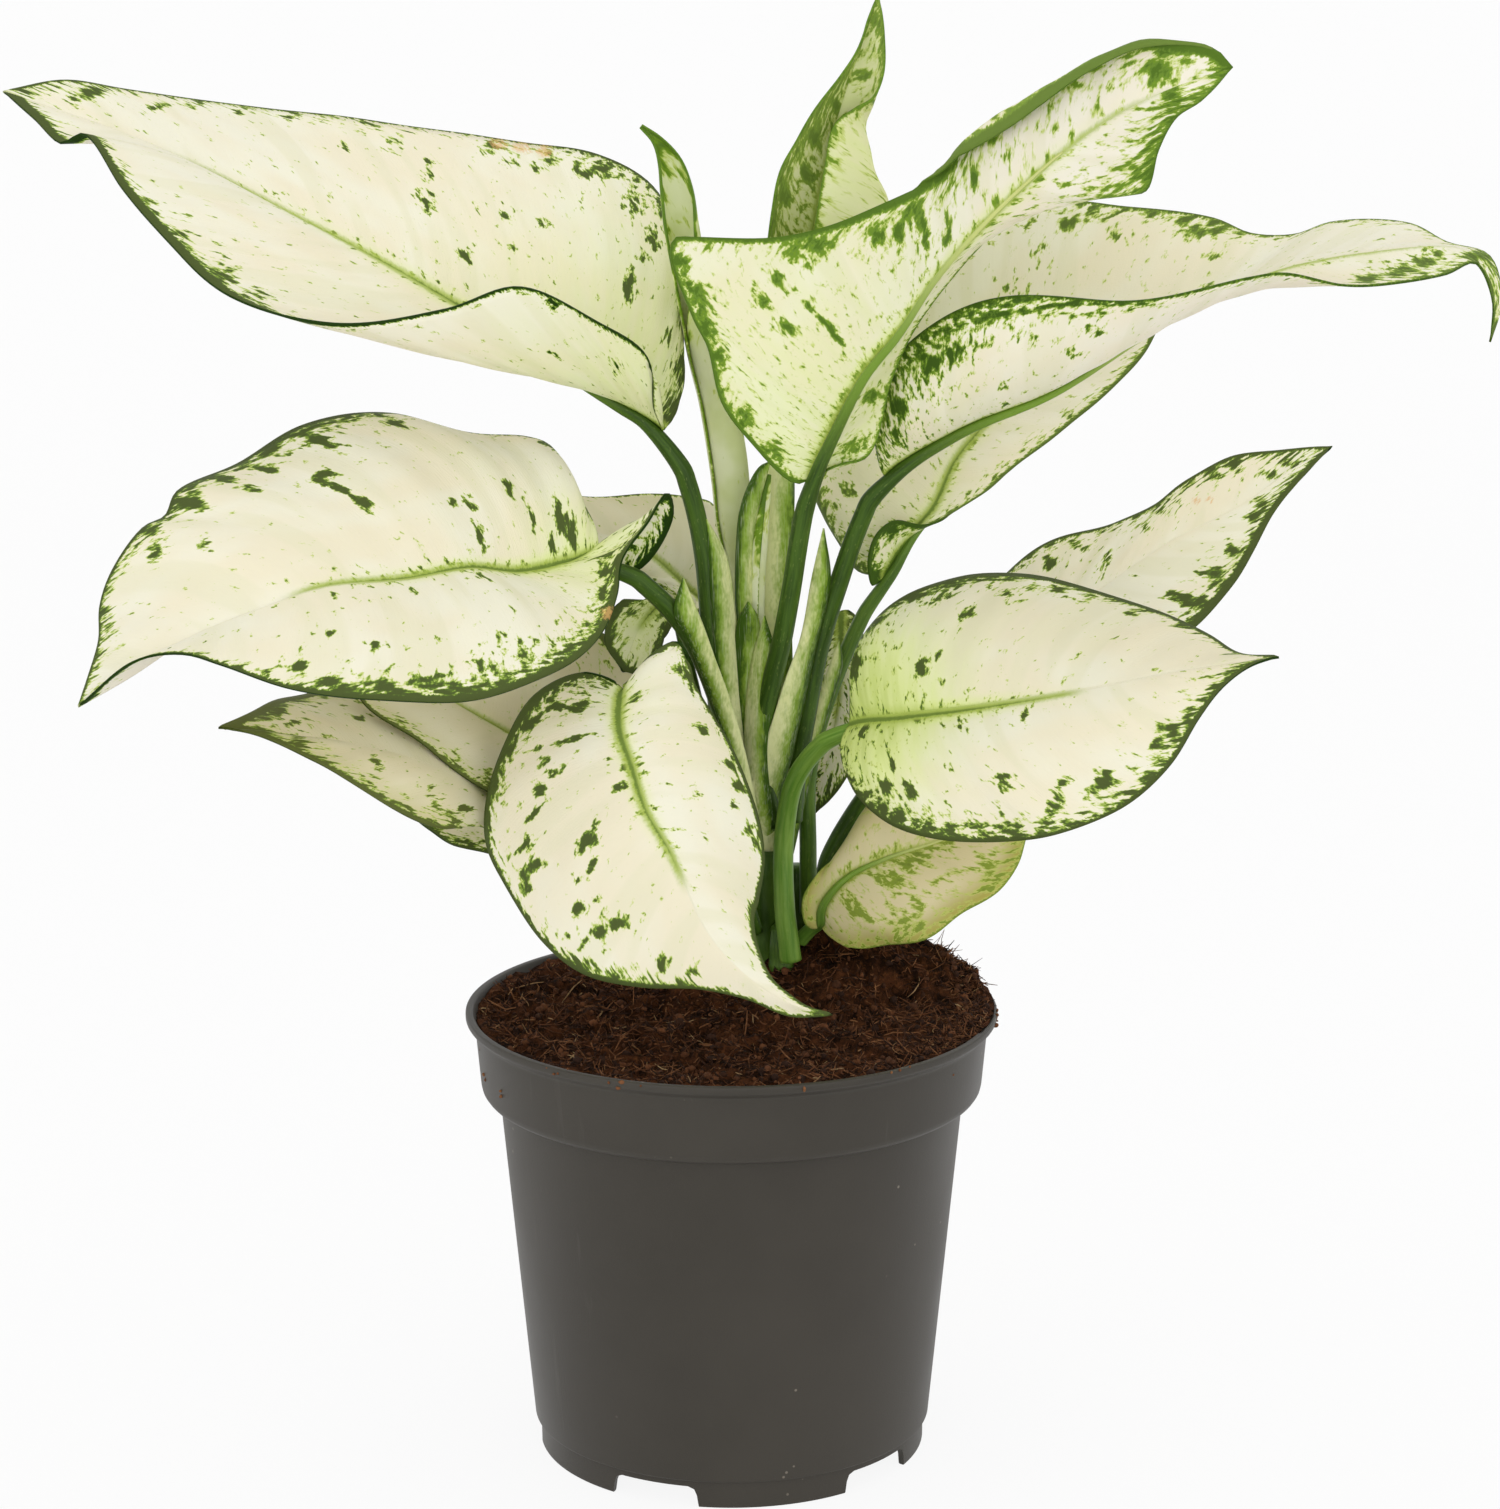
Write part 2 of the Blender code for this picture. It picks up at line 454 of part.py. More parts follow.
def pot_profile():
    """Half section of the pot, down the outer side and back up inside."""
    corner = [(COLLAR_RADIUS - COLLAR_CORNER * (1 - cos(a)), COLLAR_BOTTOM + COLLAR_CORNER * (1 - sin(a)))
              for a in np.linspace(0, pi / 2, 4)]
    outside = [(RIM_RADIUS, POT_HEIGHT), (RIM_RADIUS, POT_HEIGHT - RIM_DEPTH),
               (COLLAR_TOP_RADIUS, POT_HEIGHT - 2 * RIM_DEPTH)]
    outside += corner
    outside += [(WALL_TOP_RADIUS, COLLAR_BOTTOM), (WALL_FOOT_RADIUS + .4, FOOT_HEIGHT),
                (FOOT_RADIUS, FOOT_HEIGHT - .4), (FOOT_RADIUS, 0)]
    inside = [(FOOT_RADIUS - 1.5, 0), (FOOT_RADIUS - 1.5, FLOOR_UNDERSIDE), (0, FLOOR_UNDERSIDE),
              (0, FLOOR_TOP)]
    inside += [(inner_wall_radius(z), z) for z in (FLOOR_TOP, COLLAR_BOTTOM - WALL, COLLAR_BOTTOM + WALL,
                                                   POT_HEIGHT - 2 * RIM_DEPTH, POT_HEIGHT)]
    return outside + inside


def turned(profile, name, segments):
    """A closed solid of revolution from a closed half section whose ends on the axis are open."""
    start = profile.index((0, FLOOR_UNDERSIDE)) + 1
    open_profile = profile[start:] + profile[:start]
    vertices = [(radius, 0, z) for radius, z in open_profile]
    edges = [(i, i + 1) for i in range(len(vertices) - 1)]
    data = bpy.data.meshes.new(name)
    data.from_pydata([Vector(v) * MM for v in vertices], edges, [])
    return data


def build_pot(parts, helpers):
    pot = add_object("pot", turned(pot_profile(), "pot", POT_SEGMENTS), parts, "pot")
    screw = pot.modifiers.new("turn", "SCREW")
    screw.steps = screw.render_steps = POT_SEGMENTS
    screw.use_merge_vertices = True
    screw.merge_threshold = 1e-5
    screw.use_normal_calculate = True
    for index in range(NOTCH_COUNT):
        angle = radians(FIRST_NOTCH + index * 360 / NOTCH_COUNT)
        bpy.ops.mesh.primitive_cube_add(size=1)
        block = bpy.context.object
        block.name = f"notch_cutter_{index + 1}"
        block.scale = (12 * MM, NOTCH_WIDTH * MM, 2 * NOTCH_HEIGHT * MM)
        block.rotation_euler = (0, 0, angle)
        block.location = (FOOT_RADIUS * MM * cos(angle), FOOT_RADIUS * MM * sin(angle), 0)
        move_to(block, helpers)
        cut(pot, helper(block))
    for index in range(DRAIN_COUNT):
        angle = 2 * pi * index / DRAIN_COUNT
        bpy.ops.mesh.primitive_cylinder_add(vertices=16, radius=DRAIN_RADIUS * MM, depth=10 * MM)
        drill = bpy.context.object
        drill.name = f"drain_cutter_{index + 1}"
        drill.location = (DRAIN_CIRCLE * MM * cos(angle), DRAIN_CIRCLE * MM * sin(angle), FLOOR_TOP * MM)
        move_to(drill, helpers)
        cut(pot, helper(drill))
    return pot


def move_to(item, collection):
    for owner in list(item.users_collection):
        owner.objects.unlink(item)
    collection.objects.link(item)


def soil_height(x, y):
    height = SOIL_LEVEL
    for (mound_x, mound_y), spread, rise in MOUNDS:
        height += rise * np.exp(-((x - mound_x) ** 2 + (y - mound_y) ** 2) / spread ** 2)
    return height


def build_soil(parts, helpers):
    """Soil filling the pot up to its heaped top, with a socket for each cane."""
    shape = bmesh.new()
    rings = []
    side_heights = (FLOOR_TOP + CLEARANCE, COLLAR_BOTTOM - WALL, COLLAR_BOTTOM + WALL, SOIL_EDGE_HEIGHT)
    angles = np.arange(SOIL_SEGMENTS) * 2 * pi / SOIL_SEGMENTS
    for height in side_heights:
        radius = inner_wall_radius(height) - SOIL_GAP
        rings.append([shape.verts.new((radius * MM * cos(a), radius * MM * sin(a), height * MM))
                      for a in angles])
    edge_radius = inner_wall_radius(SOIL_EDGE_HEIGHT) - SOIL_GAP
    for ring in range(1, SOIL_RINGS):
        radius = edge_radius * (1 - ring / SOIL_RINGS)
        rings.append([shape.verts.new((radius * MM * cos(a), radius * MM * sin(a),
                                       soil_height(radius * cos(a), radius * sin(a)) * MM))
                      for a in angles])
    for lower, upper in zip(rings, rings[1:]):
        for k in range(SOIL_SEGMENTS):
            following = (k + 1) % SOIL_SEGMENTS
            shape.faces.new((lower[k], lower[following], upper[following], upper[k]))
    shape.faces.new(list(reversed(rings[0])))
    centre = shape.verts.new((0, 0, soil_height(0, 0) * MM))
    for k in range(SOIL_SEGMENTS):
        shape.faces.new((rings[-1][k], rings[-1][(k + 1) % SOIL_SEGMENTS], centre))
    data = bpy.data.meshes.new("potting_soil")
    bmesh.ops.recalc_face_normals(shape, faces=shape.faces)
    shape.to_mesh(data)
    shape.free()
    soil = add_object("potting_soil", data, parts, "soil")
    for name, cane in CANES.items():
        bpy.ops.mesh.primitive_cylinder_add(vertices=CANE_SIDES, radius=(cane["radius"] + CLEARANCE) * MM,
                                            depth=2 * CANE_SIDES * 4 * MM)
        socket = bpy.context.object
        socket.name = name + "_socket_cutter"
        depth = socket.dimensions.z
        socket.location = (cane["axis"][0] * MM, cane["axis"][1] * MM,
                           (cane["foot"] - CLEARANCE) * MM + depth / 2)
        move_to(socket, helpers)
        cut(soil, helper(socket))
    return soil


# ---------------------------------------------------------------- canes and leaves

def build_cane(name, cane, parts):
    """A short stem, tapered above its shoulder."""
    heights = [cane["foot"], cane["shoulder"], cane["top"] - 1, cane["top"]]
    radii = [cane["radius"], cane["radius"], cane["tip_radius"] + .1, cane["tip_radius"] - .6]
    data = bpy.data.meshes.new(name)
    profile = [(0, heights[-1])] + list(zip(radii, heights))[::-1] + [(0, heights[0])]
    data.from_pydata([(radius * MM, 0, (z - cane["foot"]) * MM) for radius, z in profile],
                     [(i, i + 1) for i in range(len(profile) - 1)], [])
    location = Vector((*cane["axis"], cane["foot"])) * MM
    stem = add_object(name, data, parts, "cane", location)
    screw = stem.modifiers.new("turn", "SCREW")
    screw.steps = screw.render_steps = CANE_SIDES
    screw.use_merge_vertices = True
    screw.merge_threshold = 1e-5
    return stem


def blade_surface(shape, name):
    """The blade as an open sheet: rows along the side veins, closed to a point at base and tip."""
    steps = np.linspace(0, 1, BLADE_ROWS + 2)[1:-1]
    reaches = np.linspace(0, 1, HALF_COLUMNS + 1)
    vertices = [shape.rib[0]]
    for step in steps:
        left = shape.row(step, -1, reaches[:0:-1])
        right = shape.row(step, 1, reaches)
        vertices.extend([*left, *right])
    vertices.append(shape.rib[-1])
    across = 2 * HALF_COLUMNS + 1
    faces = []
    for column in range(across - 1):
        faces.append((0, 1 + column + 1, 1 + column))
        for row in range(BLADE_ROWS - 1):
            corner = 1 + row * across + column
            faces.append((corner, corner + 1, corner + across + 1, corner + across))
        last = 1 + (BLADE_ROWS - 1) * across + column
        faces.append((last, last + 1, len(vertices) - 1))
    return mesh_from(vertices, faces, name)


def build_leaf(name, spec, parts, helpers):
    """One grown leaf: the blade as a thin shell, joined to its stalk, which runs on under the midrib."""
    foot_radius, base_radius = STALK_RADII.get(name, USUAL_STALK_RADII)
    shape = LeafShape(dict(spec, foot_radius=foot_radius))
    leaf = add_object(name, blade_surface(shape, name), parts, "leaf")
    shell = leaf.modifiers.new("thickness", "SOLIDIFY")
    shell.thickness = BLADE_THICKNESS * MM
    shell.offset = 0
    shares = np.linspace(.02, KEEL_REACH, 5)
    keel = [read(shape.rib, share) - rib_upward(shape, share) * base_radius * .6 for share in shares]
    path = smooth_path(np.vstack([shape.stalk[:-40:60], keel]), STALK_POINTS)
    radii = np.interp(np.linspace(0, 1, STALK_POINTS), [0, .8, 1], [foot_radius, base_radius, .9])
    stalk = add_object(name + "_stalk", tube_mesh(path, radii, STALK_RESOLUTION, name + "_stalk"), helpers)
    cut(leaf, helper(stalk), "UNION")
    return leaf


def build_furled(name, spec, parts):
    track = smooth_path([(*seat(spec), spec["foot_radius"])] + spec["path"], FURLED_POINTS)
    return add_object(name, tube_mesh(track[:, :3], track[:, 3], 1, name), parts, "furled")


def main():
    parts, helpers = clear_scene()
    build_pot(parts, helpers)
    build_soil(parts, helpers)
    for name, cane in CANES.items():
        build_cane(name, cane, parts)
    for name, spec in LEAVES.items():
        build_leaf(name, spec, parts, helpers)
    for name, spec in FURLED.items():
        build_furled(name, spec, parts)


main()
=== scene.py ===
"""Looks of the potted chinese evergreen: variegated leaves, stalks, fibrous soil and nursery pot.

Lengths in the tables are millimetres and angles are degrees. The pot's base is at the origin, +Z is
up and the plant's front looks along -Y.
"""

from math import cos, pi, radians, sin

import bmesh
import bpy
import numpy as np
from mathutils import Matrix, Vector


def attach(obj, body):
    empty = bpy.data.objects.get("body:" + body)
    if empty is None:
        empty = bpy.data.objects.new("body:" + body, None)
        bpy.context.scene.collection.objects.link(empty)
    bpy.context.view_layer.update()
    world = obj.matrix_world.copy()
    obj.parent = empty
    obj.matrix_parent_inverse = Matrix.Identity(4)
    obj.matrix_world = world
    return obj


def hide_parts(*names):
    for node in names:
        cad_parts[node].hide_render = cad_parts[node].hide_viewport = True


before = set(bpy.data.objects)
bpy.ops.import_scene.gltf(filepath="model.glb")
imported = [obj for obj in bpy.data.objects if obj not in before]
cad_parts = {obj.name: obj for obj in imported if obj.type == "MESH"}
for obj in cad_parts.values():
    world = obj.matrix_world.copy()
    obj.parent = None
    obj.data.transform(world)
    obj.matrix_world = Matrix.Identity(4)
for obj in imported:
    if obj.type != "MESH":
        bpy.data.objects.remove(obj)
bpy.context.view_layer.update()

MM = 0.001
CLEARANCE = 0.3

# Canes: place of the axis, heights of the foot, of the shoulder where the taper starts and of the top,
# and the radius below the shoulder and at the top
CANES = {
    "main_cane": dict(axis=(7.5, 18.0), foot=72, shoulder=130, top=150, radius=5.3, tip_radius=2.6),
    "front_shoot": dict(axis=(11.5, 10.0), foot=78, shoulder=114, top=119, radius=2.9, tip_radius=2.4),
    "right_shoot": dict(axis=(15.0, 29.0), foot=74, shoulder=122, top=128, radius=4.0, tip_radius=2.6),
    "left_shoot": dict(axis=(-4.5, 32.0), foot=74, shoulder=122, top=128, radius=4.0, tip_radius=2.6),
}

# Every leaf: the cane it grows from and where on it (azimuth, height), the stalk's further points up
# to the blade's base, the rib's further points up to the tip, the margin's points on either side of
# it, and how far each half bows towards the upper side, at even stations from the base to the tip.
# The higher the sweep, the nearer to the base the side veins leave the rib.
LEAVES = {
    "leaf_upper_left": dict(
        cane="main_cane", azimuth=-165, height=142,
        stalk=[(-1, 14, 155), (-3, 12, 170), (-4.5, 10, 186), (-6, 9, 204), (-8, 8, 215), (-11, 7, 225),
            (-15, 7, 233)],
        rib=[(-29, 6, 242), (-46, 8, 252), (-62, 12, 261), (-77, 16, 269), (-96, 22, 278), (-130, 36, 293),
            (-164, 44, 304)],
        left=[(-17, 0, 240), (-18, -7, 251), (-28, -12, 259), (-45, -18, 268), (-61, -18, 263),
            (-85, -17, 259), (-107, -10, 265), (-121, 0, 275), (-133, 12, 285), (-144, 28, 296),
            (-149, 30, 294), (-156, 36, 299)],
        right=[(-12, 14, 240), (-11, 20, 249), (-14, 28, 268), (-17, 36, 282), (-30, 42, 290), (-48, 46, 293),
            (-87, 50, 297), (-114, 52, 301), (-138, 51, 304), (-151, 49, 306)],
        bow=((0, -.03, -.05, -.03, 0, .05, .02), (.1, .12, .12, .1, .06, .03, 0)),
        sweep=2.3),
    "leaf_centre_right": dict(
        cane="main_cane", azimuth=-68, height=142,
        stalk=[(7, 10, 153), (7, 8, 164), (8.5, 6, 174), (11, 3, 185), (13.5, -1, 200), (15.5, -5, 214),
            (18, -8, 225)],
        rib=[(28, -17, 248), (36, -23, 259), (44, -31, 272), (58, -42, 289), (75, -54, 305), (87, -61, 312),
            (100, -66, 317)],
        left=[(24, -9, 228), (30, -8, 230), (35, -10, 247), (41, -12, 260), (50, -17, 272), (59, -24, 282),
            (69, -34, 288), (75, -40, 290), (80, -45, 290), (85, -49, 291), (87, -54, 300), (90, -59, 307),
            (95, -64, 311)],
        right=[(14, -10, 224), (5, -8, 232), (-2, -6, 241), (-5, -3, 253), (-8, -2, 259), (-13, 0, 273),
            (-12, 1, 276), (-8, 2, 276), (9, 1, 276), (21, -4, 279), (33, -12, 285), (44, -22, 292),
            (53, -34, 303), (63, -44, 310), (77, -55, 319), (84, -60, 322), (96, -66, 321)],
        bow=((.05, .1, .12, .08, .04, 0, 0), (.04, .06, .08, .06, .04, .02, 0)),
        sweep=1.7),
    "leaf_far_right": dict(
        cane="main_cane", azimuth=-15, height=142,
        stalk=[(14.5, 15, 152), (17, 13.5, 168), (20, 12, 184), (24, 10, 198), (29, 8, 213), (34, 6, 223)],
        rib=[(50, 3, 234), (70, -1, 243), (93, -4, 258), (108, -7, 266), (122, -9, 271), (139, -10, 274),
            (154, -10, 275), (162, -11, 272), (165, -12, 264), (163, -12, 255)],
        left=[(34, 14, 232), (39, 24, 251), (49, 29, 268), (60, 30, 275), (73, 28, 281), (88, 26, 280),
            (107, 22, 278), (115, 19, 275), (124, 17, 275), (132, 14, 278), (148, 8, 278), (155, 0, 275),
            (163, -6, 273), (165, -11, 266)],
        right=[(32, 4, 231), (31, 2, 240), (34, -3, 248), (38, -9, 254), (49, -18, 263), (59, -22, 266),
            (84, -26, 266), (109, -26, 270), (117, -26, 271), (130, -25, 269), (142, -22, 269),
            (152, -18, 270), (159, -14, 272), (163, -13, 264)],
        bow=((-.05, -.12, -.15, -.1, -.05, 0, 0), (-.15, -.2, -.16, -.1, -.04, 0, 0)),
        sweep=1.6),
    "leaf_left": dict(
        cane="main_cane", azimuth=-118, height=140,
        stalk=[(2, 8, 152), (-1, 5, 166), (-5, 1.5, 179), (-10, -2, 190), (-18, -6, 200), (-29, -10, 208)],
        rib=[(-35, -12, 207), (-46, -18, 206), (-56, -24, 208), (-69, -31, 207), (-86, -40, 207),
            (-97, -46, 204), (-112, -54, 199), (-124, -60, 192), (-134, -66, 187)],
        left=[(-23, -2, 202), (-18, 0, 205), (-13, -1, 215), (-14, -4, 221), (-18, -12, 215), (-23, -18, 208),
            (-24, -24, 202), (-27, -32, 196), (-32, -40, 192), (-40, -48, 189), (-54, -57, 186),
            (-73, -65, 188), (-90, -67, 191), (-104, -67, 196), (-112, -66, 198), (-122, -65, 196)],
        right=[(-31, -4, 213), (-37, 6, 223), (-40, 10, 229), (-45, 11, 231), (-56, 12, 232), (-76, 10, 236),
            (-94, 1, 234), (-106, -7, 229), (-119, -19, 224), (-121, -24, 219), (-125, -27, 217),
            (-131, -34, 209), (-133, -40, 203), (-132, -50, 197), (-133, -59, 191)],
        bow=((-.1, -.12, 0, .08, .08, .05, .02), (.1, .12, .14, .12, .1, .08, .03)),
        sweep=1.9),
    "leaf_front": dict(
        cane="main_cane", azimuth=-110, height=117,
        stalk=[(2, 8, 127), (-2, 4, 139), (-9, -3, 158), (-15, -12, 172), (-23, -24, 181)],
        rib=[(-24, -32, 175), (-21, -38, 167), (-18, -43, 159), (-13, -46, 151), (-5, -49, 134),
            (3, -50, 125), (13, -49, 118), (22, -47, 115)],
        left=[(-20, -22, 182), (-15, -20, 186), (-11, -17, 189), (-9, -17, 185), (-8, -19, 181),
            (1, -25, 167), (5, -30, 156), (7, -34, 146), (6, -39, 138), (5, -43, 135), (6, -46, 129),
            (9, -48, 123), (15, -48, 118)],
        right=[(-28, -20, 183), (-34, -16, 183), (-43, -16, 178), (-49, -18, 169), (-53, -22, 158),
            (-53, -26, 148), (-49, -31, 140), (-41, -38, 129), (-32, -42, 123), (-19, -46, 121),
            (-6, -48, 121), (4, -49, 119), (13, -48, 115)],
        bow=((.1, .14, .14, .12, .08, .03, 0), (.04, .06, .07, .06, .04, .02, 0)),
        sweep=1.9),
    "leaf_upright": dict(
        cane="main_cane", azimuth=37, height=144,
        stalk=[(12, 22, 165), (11.5, 22, 185), (11.5, 22, 205), (12, 22, 228)],
        rib=[(14, 22.5, 246), (16, 22.5, 262), (18, 22, 275), (21, 20.5, 291), (25, 18, 306), (29, 14.5, 318),
            (32, 12, 327)],
        left=[(9, 19, 233), (6.5, 16, 245), (6.5, 14, 258), (8, 14, 270), (9, 14, 280), (11, 13, 289),
            (15, 12, 296), (19, 12, 303), (24, 12, 310), (28, 12, 316)],
        right=[(14, 19, 234), (16, 15, 247), (17, 14, 262), (18.5, 14, 278), (20.5, 14, 290), (22.5, 14, 299),
            (27, 13, 302.5), (31, 12, 305), (33, 12, 310), (33, 12, 319)],
        bow=((-.2, -.2, -.15, -.1, -.05, 0), (-.5, -.9, -1.1, -1.1, -.3, 0)),
        sweep=1.4),
    "leaf_right_front": dict(
        cane="front_shoot", azimuth=-70, height=112,
        stalk=[(12, 5, 125), (12, 7, 141), (15, 3, 156), (26, -6, 169)],
        rib=[(37, -12, 172), (50, -18, 175), (65, -25, 179), (79, -31, 183), (96, -37, 188), (116, -41, 192)],
        left=[(30, 0, 174), (30, 6, 181), (32, 10, 189), (39, 12, 195), (51, 12, 199), (62, 9, 200),
            (73, 3, 200), (90, -10, 197), (103, -24, 193), (109, -34, 191)],
        right=[(25, -12, 163), (27, -18, 157), (34, -25, 152), (45, -32, 150), (59, -38, 151), (70, -43, 154),
            (84, -46, 161), (93, -47, 170), (99, -46, 180), (104, -44, 186), (110, -42, 190)],
        bow=((.12, .14, .14, .12, .08, .03), (.12, .14, .14, .12, .08, .03)),
        sweep=1.9),
    "leaf_right_back": dict(
        cane="right_shoot", azimuth=-10, height=117,
        stalk=[(22, 29, 127), (27, 32, 137), (37, 37, 150), (53, 40, 167)],
        rib=[(69, 44, 178), (86, 49, 189), (102, 54, 199), (119, 58, 207), (131, 61, 215), (141, 65, 220)],
        left=[(51, 48, 175), (55, 54, 183), (65, 58, 191), (77, 60, 199), (90, 60, 203), (100, 60, 207),
            (107, 61, 213), (117, 63, 218), (129, 65, 219)],
        right=[(60, 36, 165), (76, 36, 165), (92, 40, 172), (108, 46, 181), (117, 50, 190), (122, 53, 198),
            (127, 57, 206), (134, 60, 214)],
        bow=((.05, .06, .05, .02, 0), (.05, .08, .08, .05, 0)),
        sweep=1.9),
    "leaf_behind_right": dict(
        cane="right_shoot", azimuth=-65, height=118,
        stalk=[(17.5, 21.5, 135), (17.5, 21.5, 150), (19.5, 22, 161), (26.5, 25, 180), (35, 30, 196)],
        rib=[(40, 31, 204), (46, 33, 211), (51, 37, 221), (58, 40, 229), (71, 45, 240), (87, 51, 249),
            (101, 54, 256)],
        left=[(29, 36, 196), (25, 40, 201), (21, 44, 207), (19, 47, 213), (21, 50, 219), (27, 54, 230),
            (46, 57, 244), (64, 58, 253), (83, 57, 257)],
        right=[(32, 27, 194), (31, 26, 200), (33, 26, 206), (37, 27, 209), (44, 29, 208), (55, 33, 213),
            (63, 36, 219), (71, 39, 224), (79, 43, 230), (88, 47, 237), (95, 50, 244)],
        bow=((.05, .08, .08, .05, 0), (.05, .08, .08, .05, 0)),
        sweep=1.8),
    "leaf_behind_stems": dict(
        cane="right_shoot", azimuth=60, height=118,
        stalk=[(18, 37, 141), (20, 41, 159), (23, 44, 176), (25, 42, 185)],
        rib=[(25, 36, 175), (24, 34, 161), (21, 34, 147), (17, 37, 136)],
        left=[(28, 42, 185), (31, 38, 179), (33, 34, 169), (31, 32, 157), (24, 33, 144)],
        right=[(22, 42, 183), (19, 38, 174), (17, 36, 163), (17, 36, 151), (16, 37, 141)],
        bow=((.08, .1, .05), (.08, .1, .05)), sweep=1.7),
    "leaf_on_soil": dict(
        cane="front_shoot", azimuth=-30, height=116, stalk=[(18, 6, 119), (20, 4, 121)],
        rib=[(21, 2, 126), (26, 2, 132), (35, 4, 136), (47, 8, 139), (59, 13, 143), (69, 18, 147)],
        left=[(27, -2, 117), (35, -4, 118), (44, -4, 120), (52, -2, 125), (60, 2, 129), (65, 7, 134),
            (67, 12, 139)],
        right=[(17, 2, 121), (16, 2, 127), (20, 4, 133), (26, 8, 138), (31, 13, 145), (40, 18, 149),
            (52, 22, 151), (64, 21, 150)],
        bow=((-.06, -.1, -.12, -.08, 0), (-.25, -.3, -.25, -.15, 0)),
        sweep=1.7),
    "leaf_low_left": dict(
        cane="left_shoot", azimuth=-165, height=113,
        stalk=[(-16, 22, 122), (-24, 11, 132), (-35, -4, 140)],
        rib=[(-51, -12, 153), (-65, -22, 164), (-82, -31, 171), (-96, -36, 174), (-109, -38, 176)],
        left=[(-39, -10, 138), (-46, -16, 144), (-53, -21, 149), (-66, -31, 153), (-77, -36, 161),
            (-89, -39, 169), (-99, -39, 174)],
        right=[(-38, 4, 147), (-50, 8, 158), (-63, 6, 168), (-78, 0, 176), (-88, -8, 178), (-97, -18, 178),
            (-103, -30, 177)],
        bow=((.06, .1, .08, .04), (.06, .1, .08, .04)), sweep=1.8),
    "leaf_low_left_middle": dict(
        cane="left_shoot", azimuth=-105, height=120,
        stalk=[(-11, 23, 134), (-17, 21, 142), (-25, 16, 147)],
        rib=[(-39, 10, 157), (-50, 4, 165), (-60, 0, 172), (-73, -5, 181), (-87, -9, 189)],
        left=[(-29, 3, 143), (-43, -10, 148), (-54, -16, 157), (-66, -20, 167), (-79, -20, 177),
            (-84, -15, 184)],
        right=[(-19, 24, 159), (-20, 24, 172), (-23, 22, 179), (-29, 20, 185), (-39, 17, 190), (-52, 14, 192),
            (-69, 6, 193)],
        bow=((.06, .1, .08, .04), (.06, .1, .08, .04)), sweep=1.8),
    "leaf_low_left_back": dict(
        cane="left_shoot", azimuth=145, height=115, stalk=[(-16, 32, 123), (-28, 26, 132)],
        rib=[(-44, 20, 139), (-59, 14, 144), (-75, 8, 151), (-85, 4, 157)],
        left=[(-32, 14, 128), (-46, 8, 133), (-55, 6, 137), (-63, 4, 139), (-68, 3, 143), (-75, 2, 150)],
        right=[(-31, 34, 139), (-44, 32, 149), (-60, 26, 154), (-75, 14, 158)],
        bow=((.06, .1, .08, .04), (.06, .1, .08, .04)), sweep=1.8),
    "leaf_behind_left": dict(
        cane="left_shoot", azimuth=60, height=118,
        stalk=[(0, 39, 142), (1, 42, 160), (-1, 44, 173), (-5, 44, 185)],
        rib=[(-10, 42, 190), (-17, 37, 198), (-25, 31, 204), (-39, 24, 208), (-58, 16, 209)],
        left=[(-7, 40, 185), (-14, 36, 189), (-21, 32, 195), (-30, 26, 197), (-43, 18, 202)],
        right=[(-2, 50, 196), (-4, 50, 209), (-10, 48, 211), (-21, 44, 212), (-32, 38, 213), (-46, 28, 213)],
        bow=((.06, .1, .08, .04), (.08, .12, .1, .04)), sweep=1.8),
    "leaf_small_left": dict(
        cane="left_shoot", azimuth=-45, height=120,
        stalk=[(-3, 25, 140), (-6, 20, 160), (-10, 14, 180), (-14, 10, 194)],
        rib=[(-18, 6, 192), (-21, 3, 188), (-24, 0, 180)],
        left=[(-14, 6, 189), (-16, 4, 183), (-19, 2, 179)],
        right=[(-20, 6, 195), (-26, 2, 194), (-28, 0, 187)],
        bow=((.08, .1, .05), (.08, .1, .05)), sweep=1.6),
}
STALK_RADII = {"leaf_small_left": (1.6, 1.2), "leaf_behind_stems": (1.7, 1.3), "leaf_on_soil": (1.8, 1.5),
               "leaf_low_left_back": (1.8, 1.4), "leaf_behind_right": (2.1, 1.7)}
USUAL_STALK_RADII = (2.5, 2.1)
VEIN_BEND = .08       # how much the side veins curve towards the tip, as a share of their length


# ---------------------------------------------------------------- curves and surfaces

SPLINE_STEPS = 24      # points on each span of a smooth curve before it is evened out
LEAF_POINTS = 1200
RIB_POINTS = 161
MARGIN_POINTS = 401
TINY = 1e-6


def unit(vectors):
    return vectors / np.maximum(np.linalg.norm(vectors, axis=-1, keepdims=True), 1e-9)


def lengths_along(points):
    """How far along a line each of its points lies."""
    return np.r_[0, np.cumsum(np.linalg.norm(np.diff(points, axis=0), axis=1))]


def points_at(points, places, wanted):
    """Points of a line, whose own points have the given places, read at the wanted places."""
    return np.stack([np.interp(wanted, places, points[:, axis]) for axis in range(points.shape[1])], -1)


